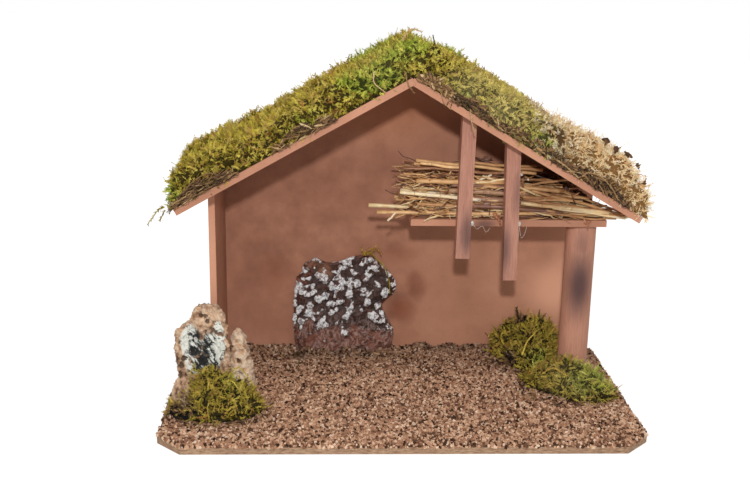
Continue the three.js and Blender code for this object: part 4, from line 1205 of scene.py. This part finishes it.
def hearthRelief(p, normal):
    # Round knobs in a net of cracks, smaller at the foot; white is brushed on rings round the knobs
    facing = ease(0.1, 0.6, -normal.y)
    warp = Vector((noise.noise(p / 5), 0, noise.noise(p / 5 + Vector((9, 9, 9))))) * 4
    spots = noise.voronoi((p + warp) / bark["knob"])[0]
    foot = ease(40, 22, p.z + 20 * noise.noise(Vector((p.x / 9, 0, p.z / 14))))
    ring = abs(spots[0] - 0.27)
    paint = 0.22 - ring + 0.24 * noise.noise(p / 4.5 + Vector((4, 4, 4))) - 0.26 * foot
    rise = (bark["knobHeight"] * ease(0.3, 0.02, ring) - bark["knobSink"]) * (1 - 0.6 * foot)
    rise += 0.8 * noise.noise(p / 2)
    rise += 1.2 * (0.3 - abs(noise.noise(Vector((p.x / 3.5, p.y / 3.5, p.z / (3.5 + 6 * foot))))))
    x, z = bark["corner"]
    corner = ease(24, 6, math.hypot(p.x - x, p.z - z)) * ease(0.75, 0.25, abs(normal.y))
    return rise * (0.2 + 0.8 * facing) + bark["cornerRise"] * corner * (1 + 0.7 * noise.noise(p / 4)), paint


def rockRelief(p, normal):
    # Steps between plates of bark, ridges, seams and pits; the underside stays flat
    step = noise.cell(noise.voronoi(p / 8)[1][0] * 5.0)
    ridges = 3.0 * (0.28 - abs(noise.noise(Vector((p.x / 5, p.y / 5, p.z / 12)))))
    seams = noise.voronoi(p / 10 + Vector((5, 2, 4)))[0]
    ridges += 1.8 * (0.28 - abs(noise.noise(p / 2.2))) - 0.7 * ease(0.14, 0.02, seams[1] - seams[0])
    holes, centres = noise.voronoi(p / 8 + Vector((3, 7, 1)))
    pits = -2.6 * ease(0.3, 0.12, holes[0]) if noise.cell(centres[0] * 5) > 0.3 else 0.0
    for x, z, size in bark["pits"]:
        pits -= 2.8 * ease(1.1, 0.5, math.hypot(p.x - x, (p.z - z) * 0.8) / size)
    fuller = bark["lowRockFuller"] if p.x > bark["lowRockFrom"] else 0.0
    return ease(-0.9, -0.4, normal.z) * (step + ridges + 0.6 * noise.noise(p / 2) + pits + fuller), 0.0


def hearthMaterial():
    # Bark painted dark brown, with painted shade to near black in its cracks, chalky white brushed over the
    # knobs only
    tones = bark["hearth"]
    material, add, coords = startMaterial("dry-brushed painted bark")
    height, paint = (add("ShaderNodeAttribute", attribute_name=key).outputs["Fac"]
                     for key in ("height", "paint"))
    fine = add("ShaderNodeTexNoise", [coords, 1 / (2.2 * mm), 5, 0.7])
    drawn = add("ShaderNodeMapping", {"Vector": coords, "Scale": (1, 1, 0.75)})
    broad = add("ShaderNodeTexNoise", {"Vector": drawn, "Scale": 1 / (6 * mm), "Detail": 3,
                                       "Distortion": 0.6})
    worn = add("ShaderNodeTexNoise", [coords, 1 / (2.4 * mm), 3])
    low = add("ShaderNodeSeparateXYZ", [coords]).outputs["Z"]
    low = add("ShaderNodeMath", [broad, 40 * mm, low], operation="MULTIPLY_ADD")
    reddish = add("ShaderNodeMapRange", [low, 24 * mm, 76 * mm, 0.8, 0.1])
    # painted shade: darker to near black the deeper the relief
    deep = add("ShaderNodeMapRange", [height, -1.7, -0.3, 1, 0])
    colour = coat(add, tones["body"], [(reddish, tones["red"]), (deep, tones["dark"])])
    colour = coat(add, colour, [(0.8, add("ShaderNodeValToRGB", [fine], stops=[(0.35, 0.62), (0.6, 1.0)])),
                                (1, add("ShaderNodeMapRange", [broad, 0.36, 0.56, 0.62, 1]))], "MULTIPLY")
    ring = add("ShaderNodeMapRange", [paint, -0.24, -0.06, 0, 0.75])
    rim = add("ShaderNodeMath", [fine, 0.5, colourAndLightPatches(add, coords, bark["rim"])], operation="MULTIPLY_ADD")
    rim = add("ShaderNodeMapRange", [rim, 0.35, 1.05, 0, 0.65])
    wisp = add("ShaderNodeMath", [broad, 0.5], operation="SUBTRACT")
    wisp = add("ShaderNodeMath", [wisp], operation="ABSOLUTE")
    wisp = add("ShaderNodeMapRange", [wisp, 0, 0.06, 0.36, 0])
    foot = add("ShaderNodeMapRange", [low, 48 * mm, 70 * mm, 1, 0])
    wisp = add("ShaderNodeMath", [wisp, foot], operation="MULTIPLY")
    brushed = add("ShaderNodeMath", [fine, 0.5, paint], operation="MULTIPLY_ADD")
    brushed = add("ShaderNodeMapRange", [brushed, 0.23, 0.31, 0, 1])
    worn = add("ShaderNodeMapRange", [worn, 0.38, 0.48, 0.3, 1])
    white = add("ShaderNodeMath", [brushed, worn], operation="MULTIPLY")
    chalk = add("ShaderNodeValToRGB", [fine], stops=[(0.36, tones["chalk"]), (0.5, tones["white"])])
    colour = coat(add, colour, [(ring, tones["ring"]), (rim, tones["bare"]), (wisp, tones["wisp"]),
                                (white, chalk)])
    setFinish(add, {"Base Color": colour, "Roughness": 0.65}, fine, 0.4)
    return material


def rockMaterial():
    # Cork bark: tan and pitted outside, with painted shade in its cracks and a painted highlight on its
    # raised parts; its hollow painted black with a greenish white dry-brush
    tones = bark["rock"]
    material, add, coords = startMaterial("cork oak bark, partly painted")
    height = add("ShaderNodeAttribute", attribute_name="height").outputs["Fac"]
    fine = add("ShaderNodeTexNoise", [coords, 1 / (1.8 * mm), 5, 0.7])
    broad = add("ShaderNodeTexNoise", {"Vector": coords, "Scale": 1 / (8 * mm), "Detail": 4,
                                       "Distortion": 0.6})
    patchy = add("ShaderNodeTexNoise", [coords, 1 / (11 * mm)])
    slanted = add("ShaderNodeMapping", {"Vector": coords, "Rotation": (0, 0.87, 0), "Scale": (3, 1, 1)},
                  vector_type="TEXTURE")
    streaks = add("ShaderNodeTexNoise", [slanted, 1 / (2.6 * mm), 5, 0.75])
    colour = add("ShaderNodeValToRGB", [broad],
                 stops=[(0.3, tones["deep"]), (0.5, tones["tan"]), (0.7, tones["pale"])])
    # painted shade in the cracks and painted highlight on the raised parts, by the height of the relief
    colour = coat(add, colour, [(add("ShaderNodeMapRange", [height, -1.2, 0.1, 0.85, 0]), tones["crack"]),
                                (add("ShaderNodeMapRange", [height, 0.5, 1.8, 0, 0.7]), tones["crest"])])
    colour = coat(add, colour, [
        (0.7, add("ShaderNodeValToRGB", [fine], stops=[(0.32, 0.58), (0.55, 1.0)])),
        (0.7, add("ShaderNodeValToRGB", [streaks], stops=[(0.38, 0.35), (0.48, 1.0)]))], "MULTIPLY")
    hollow = add("ShaderNodeMath", [colourAndLightPatches(add, coords, bark["hollow"]), broad], operation="ADD")
    hollow = add("ShaderNodeMath", [hollow, streaks], operation="ADD")
    hollow = add("ShaderNodeMapRange", [hollow, 1.26, 1.4, 0, 1])
    brushed = add("ShaderNodeMix", [0.22, streaks, patchy])
    for key, push in (("whitened", 0.11), ("blackened", -0.12)):
        brushed = add("ShaderNodeMath", [colourAndLightPatches(add, coords, bark[key]), push, brushed],
                      operation="MULTIPLY_ADD")
    painted = add("ShaderNodeValToRGB", [brushed],
                  stops=[(0.47, tones["black"]), (0.5, tones["grey"]), (0.53, tones["white"])])
    colour = coat(add, colour, [(hollow, painted)])
    setFinish(add, {"Base Color": colour, "Roughness": 0.8}, fine, 0.5)
    return material


makeRelief("hearth_bark", "hearth_relief", "painted_bark", hearthRelief, hearthMaterial())
rockPaint = rockMaterial()
for rock in ("cork_rock_tall", "cork_rock_low", "cork_rock_chip"):
    makeRelief(rock, rock + "_relief", "cork_bark", rockRelief, rockPaint)
print("bark")


# Single strands, litter, leaves and glue

litter = {
    "seed": 14,
    "leafAcross": (0.7, -0.3, 0.6),     # direction across the strips of the leaf scraps
    # strands as points in mm, then radius, leaflet length (0 for a bare twig) and tint
    "eave": [([(-171.4, -29, 160), (-175.5, -29, 158.3), (-179.2, -29, 153.3), (-184, -29, 147)],
              0.5, 3.4, 0.3),
             ([(-171, -29, 158), (-173.5, -30, 153), (-175, -30, 149.5)], 0.4, 3.0, 0.2)],
    "hearth": [([(-26, 76, 95.5), (-21, 76, 98), (-16, 76, 93.5), (-9.2, 75.4, 87), (-4.5, 75, 76),
                 (-3.5, 75.4, 63)], 0.55, 2.6, 0.3),
               ([(-27, 77, 96), (-21, 76, 100.5), (-15, 76, 100.5), (-11, 76, 97)], 0.4, 4.2, 0.95),
               ([(-23, 76, 96), (-18.5, 75.5, 99), (-15.5, 75.5, 104)], 0.4, 4.6, 0.9),
               ([(-24, 76, 95.5), (-26.5, 76, 99), (-28, 76, 102.6)], 0.4, 4.0, 0.85)],
    "ground": [([(129.6, 62, 26), (129.2, 60, 38), (129.4, 60, 48)], 0.5, 4.6, 0.3),
               ([(100, 18, 30), (104, 20, 41), (110, 22, 47)], 0.6, 2.2, 0.75),
               ([(106, 70, 40), (104.5, 70, 48), (103, 69, 53)], 0.4, 4.4, 0.05),
               ([(92, 52, 24), (88, 50, 33), (90, 48, 40)], 0.45, 2.6, 0.6),
               ([(112, -6, 24), (119, -12, 31), (128, -18, 27)], 0.45, 2.4, 0.8),
               ([(140, -20, 24), (149, -24, 27), (158, -26, 20)], 0.4, 2.4, 0.7),
               ([(-151, -40, 20), (-156, -38, 34), (-152, -36, 44)], 0.4, 2.8, 0.45),
               ([(-132, -44, 30), (-124, -50, 36), (-114, -56, 22)], 0.45, 2.6, 0.7),
               ([(-128, -36, 34), (-120, -34, 40), (-108, -40, 26)], 0.45, 2.4, 0.55),
               ([(-138, -52, 24), (-141, -60, 20), (-139, -66, 11)], 0.4, 2.4, 0.75)],
    "tan": [([(-158, -37, 171), (-148, -39.5, 182), (-137, -39.5, 187), (-126, -38, 182)], 0.6, 0.0, 0.45),
            ([(-24.3, -36, 258), (-24.5, -38, 251), (-19, -38.5, 246), (-16.7, -38, 244)], 0.5, 1.8, 0.9),
            ([(-3, -34, 258), (-1, -37.5, 250), (3.5, -38, 244)], 0.45, 1.6, 0.6),
            ([(43, -35, 233), (44, -38.5, 224), (46.5, -38.5, 217)], 0.45, 2.2, 0.85),
            ([(21.4, -36, 247), (24, -39, 238), (29, -39, 233)], 0.45, 0.0, 0.7),
            ([(-4, -18, 278), (-1, -21, 284.5), (4, -22, 286), (9, -22, 284)], 0.8, 2.6, 0.85),
            ([(16.5, -22, 268), (17.6, -23, 276), (16.4, -23, 282.5)], 0.7, 1.2, 0.05),
            ([(104, -37, 199), (112, -41, 194), (121, -40, 186)], 0.5, 1.6, 0.85),
            ([(128, -38, 190), (137, -41.5, 187), (146, -40, 178), (151, -39, 170)], 0.5, 1.6, 0.7),
            ([(118, -36, 205), (128, -41, 201), (136, -40, 193)], 0.5, 1.6, 0.8)],
    # stretches of the roof's front edge where brown thatch shows: from and to X, number of bits, darkest,
    # palest, and for those bits their lengths, widths and how much they turn
    "thatch": [(-166, -122, 170, 0.0, 1.0, (4, 14), (0.4, 1.2), 0.3),
               (-94, -52, 130, 0.1, 1.0, (3, 10), (0.5, 1.6), 0.5),
               (6, 34, 110, 0.3, 1.0, (3, 7), (0.8, 2.2), 0.7),
               (30, 62, 110, 0.0, 0.8, (3, 9), (0.5, 1.6), 0.6),
               (60, 118, 130, 0.15, 1.0, (3, 10), (0.5, 1.8), 0.8),
               (110, 160, 120, 0.0, 0.25, (2, 5), (1.0, 2.6), 1.4),
               (106, 162, 110, 0.3, 0.9, (2, 7), (0.7, 2.2), 1.2),
               (112, 165, 60, 0.6, 1.0, (4, 13), (0.5, 1.0), 0.7)],
    # loose bits round the foot of each clump: middle, half sizes in mm, number
    "fallen": [((-137, -43), (38, 27), 110), ((112, 60), (32, 31), 70), ((134, -3), (38, 30), 90),
               ((-40, 68), (48, 6), 50)],
    "fallenHeights": (9, 11.5), "sideLimit": 170, "wallLimit": 88,  # mm, Z of those bits, limits in X and Y
    "fallenTints": (0.05, 0.15, 0.3, 0.5, 0.75),
    # broad dry flakes at the roof's right end, mm
    "lobes": [(153, -20, 203), (160, -20, 200), (170, -16, 191), (174, -18, 178), (176, -22, 160),
              (146, -14, 208)],
    "glueStrings": [[(88, -4.2, 142.5), (87.4, -4.6, 134), (86.9, -4.4, 127), (83, -3.8, 119)],
                    [(88, -4.2, 141), (89.4, -4.6, 133), (91.6, -4.6, 135), (93.4, -4.2, 141.6)],
                    [(52.8, -2.2, 143), (56, -2.6, 138.8), (60, -2.4, 141), (63, -2.6, 136.5),
                     (66, -2.3, 139.5)],
                    [(168.4, -34.4, 160), (170, -35, 156.5), (168.6, -34.8, 153)]],
    "glueDrops": [((87, -4.2, 181), 1.3), ((92.5, -3, 177), 0.9)],      # middle and radius, mm
    # strips of each leaf scrap: points and widths in mm, and the twist
    "leaf_scrap_left": [([(68.2, -2.4, 151.6), (70.2, -3, 148.5), (73, -2.4, 146)], (2.2, 5.4, 1.4), 0.7),
                        ([(69.5, -2.6, 150), (72, -2.8, 148), (74.2, -2.2, 148.6)], (1.4, 3.6, 1.0), -0.9),
                        ([(72, -2.4, 146.6), (73.2, -2.2, 143.4), (74.4, -1.8, 140.4)],
                         (2.6, 1.6, 0.4), 0.5)],
    "leaf_scrap_right": [([(136.4, -2, 147.2), (139, -2.4, 143.4), (140.6, -2, 138.2)], (0.8, 2.2, 0.4), 0.6),
                         ([(142.4, -1.8, 146.4), (140.6, -2.3, 143.2), (140, -2, 141)],
                          (0.7, 1.8, 0.5), -0.6),
                         ([(136.8, -1.8, 143.8), (138.2, -2.4, 142.8), (140, -2, 142.4)],
                          (0.5, 1.4, 0.6), 0.4)],
    "leaf": [(0.3, "#6b3d28"), (0.5, "#a5694a"), (0.7, "#cf9a72")], "glue": "#e9e4da",
}


def leafyStrand(shape, points, radius, leaf, tint):
    # Thin stem with pointed leaflets on all sides, or bare when leaf is 0
    path = smoothPath(points, 6)
    last = len(path) - 1
    radii = [radius * mm * (1 - 0.6 * k / last) for k in range(last + 1)]
    tube(shape, path, radii, sides=5, tint=tint, along=0.6)
    if not leaf:
        return
    spots = sum((b - a).length for a, b in zip(path, path[1:])) / (0.5 * mm)    # one leaflet on each half mm
    for i in range(int(spots)):
        s = (i + 0.5) / spots * last
        k = min(int(s), last - 1)
        foot, ahead = path[k].lerp(path[k + 1], s - k), (path[k + 1] - path[k]).normalized()
        side = ahead.orthogonal().normalized()
        side.rotate(Matrix.Rotation(random.uniform(0, 2 * math.pi), 3, ahead))
        aim = (ahead * random.uniform(0.2, 0.9) + side).normalized()
        reach = leaf * random.uniform(0.6, 1.3) * (1 - 0.3 * s / (last + 1))
        leaflet(shape, foot, aim, aim.cross(ahead).normalized(), 0.6, 0.25, reach,
                tint=min(1.0, max(0.0, tint + random.uniform(-0.2, 0.2))), along=[0.4, 0.4, 0.4, 1.0])


def bitsMaterial():
    # Dry stems, bark flakes and dead moss: dull, from nearly black to straw
    material, add, coords = startMaterial("dry stems and bark flakes")
    tint = add("ShaderNodeAttribute", attribute_name="tint").outputs["Fac"]
    fine = add("ShaderNodeTexNoise", [coords, 1 / (1.0 * mm), 3])
    wander = add("ShaderNodeMapRange", [fine, 0.3, 0.7, -0.12, 0.12])
    place = add("ShaderNodeMath", [tint, wander], operation="ADD")
    colour = add("ShaderNodeValToRGB", [place], stops=moss["debris"])
    setFinish(add, {"Base Color": colour, "Roughness": 0.8, "Specular IOR Level": 0.15})
    return material


def addThatch(shape, start, end, count, darkest, palest, lengths, widths, disorder):
    # Bits along the roof's front edge, most and highest in the middle of their stretch
    for i in range(count):
        x = random.uniform(start, end)
        rise = math.sin(math.pi * (x - start) / (end - start)) ** 0.5
        turned, length = random.gauss(0, disorder), random.uniform(*lengths)
        height = max(random.uniform(0.0, 10.5) * rise + 0.5, 0.5 * length * abs(math.sin(turned)) + 0.4)
        depth = random.uniform(-40.5, -34)
        centre = Vector((x * mm, depth * mm, roofHeight(x * mm, roof["over"]) + height * mm))
        slope = math.atan(roof["meanPitch"]) * (1 if x < roof["ridgeX"] else -1) + turned
        aim = Vector((math.cos(slope), random.gauss(0, 0.25), math.sin(slope))).normalized()
        scrap(shape, centre, aim, length * mm, random.uniform(*widths) * mm, random.uniform(-0.4, 0.4),
              tint=random.uniform(darkest, palest) * random.uniform(0.5, 1.0))


def addFallen(shape, middle, half, count):
    # Bits on the ground in a ring round a clump, none past the plinth's sides or the wall
    for i in range(count):
        turn = random.uniform(0, 2 * math.pi)
        far = random.gauss(1.0, 0.1)
        centre = Vector((middle[0] + half[0] * far * math.cos(turn),
                         middle[1] + half[1] * far * math.sin(turn),
                         random.uniform(*litter["fallenHeights"]))) * mm
        if abs(centre.x) > litter["sideLimit"] * mm or centre.y > litter["wallLimit"] * mm:
            continue
        aim = Vector((random.gauss(0, 1), random.gauss(0, 1), random.gauss(0, 0.25))).normalized()
        scrap(shape, centre, aim, random.uniform(2, 8) * mm, random.uniform(0.5, 1.6) * mm,
              random.uniform(-0.4, 0.4), tint=random.choice(litter["fallenTints"]))


def makeLitter(ground):
    random.seed(litter["seed"])
    for key, title, replaced in (("eave", "eave_sprig", ["eave_moss_sprig"]),
                                 ("hearth", "hearth_sprig", ["hearth_moss_sprig"]),
                                 ("ground", "ground_strands", [])):
        shape = Shape()
        for strand in litter[key]:
            leafyStrand(shape, *strand)
        finishPiece(shape.build(title, ground, smooth=False), "green_moss", *replaced)
    bits = Shape()
    for strand in litter["tan"]:
        leafyStrand(bits, *strand)
    for stretch in litter["thatch"]:
        addThatch(bits, *stretch)
    for spread in litter["fallen"]:
        addFallen(bits, *spread)
    for place in litter["lobes"]:
        for i in range(3):
            centre = Vector([c + random.uniform(-1.5, 1.5) for c in place]) * mm
            aim = Vector([random.gauss(0, 1) for c in range(3)]).normalized()
            scrap(bits, centre, aim, random.uniform(5, 8) * mm, random.uniform(3, 4.5) * mm,
                  random.uniform(0.5, 0.9), tint=random.uniform(0.15, 0.4))
    finishPiece(bits.build("roof_litter", bitsMaterial(), smooth=False), "dry_moss")


def glueMaterial():
    # Hot glue: clear, slightly milky and glossy
    material, add, _ = startMaterial("hot glue")
    setFinish(add, {"Base Color": litter["glue"], "Roughness": 0.18, "Transmission Weight": 0.35,
                    "IOR": 1.48})
    return material


def leafMaterial():
    # Dry leaf: reddish brown, paler veins, dull
    material, add, coords = startMaterial("dry leaf")
    fine = add("ShaderNodeTexNoise", [coords, 1 / (1.2 * mm), 4])
    setFinish(add, {"Base Color": add("ShaderNodeValToRGB", [fine], stops=litter["leaf"]), "Roughness": 0.7})
    return material


def makeGlueAndLeaves():
    glue, leaf = glueMaterial(), leafMaterial()
    dress(["glue_dab_left", "glue_dab_right"], glue)
    strings = Shape()
    for points in litter["glueStrings"]:
        path = smoothPath(points, 7)
        tube(strings, path, [0.15 * mm] * len(path))
    finishPiece(strings.build("glue_strings", glue), "hot_glue")
    for node in ("leaf_scrap_left", "leaf_scrap_right"):
        shape = Shape()
        for points, widths, twist in litter[node]:
            path = smoothPath(points, 3)
            ragged = [0.8 + 0.5 * abs(noise.noise(p / (1.5 * mm))) for p in path]
            broad = [through(widths, k / (len(path) - 1)) * mm * share for k, share in enumerate(ragged)]
            ribbon(shape, path, broad, Vector(litter["leafAcross"]), twist)
        finishPiece(shape.build(node + "_curled", leaf, smooth=False), "dried_leaf", node)
    heights = (-1, -0.8, -0.4, 0, 0.4, 0.8, 1)      # of a drop's rings, as shares of its radius
    for place, size in litter["glueDrops"]:
        drop = Shape()
        path = [Vector(place) * mm + Vector((0, 0, size * mm * t)) for t in heights]
        tube(drop, path, [size * mm * math.sqrt(max(0.02, 1 - t * t)) for t in heights], sides=10)
        finishPiece(drop.build(f"glue_drop_{round(place[0])}", glue), "hot_glue")


makeLitter(groundMoss)
makeGlueAndLeaves()
print("strands, litter and glue")
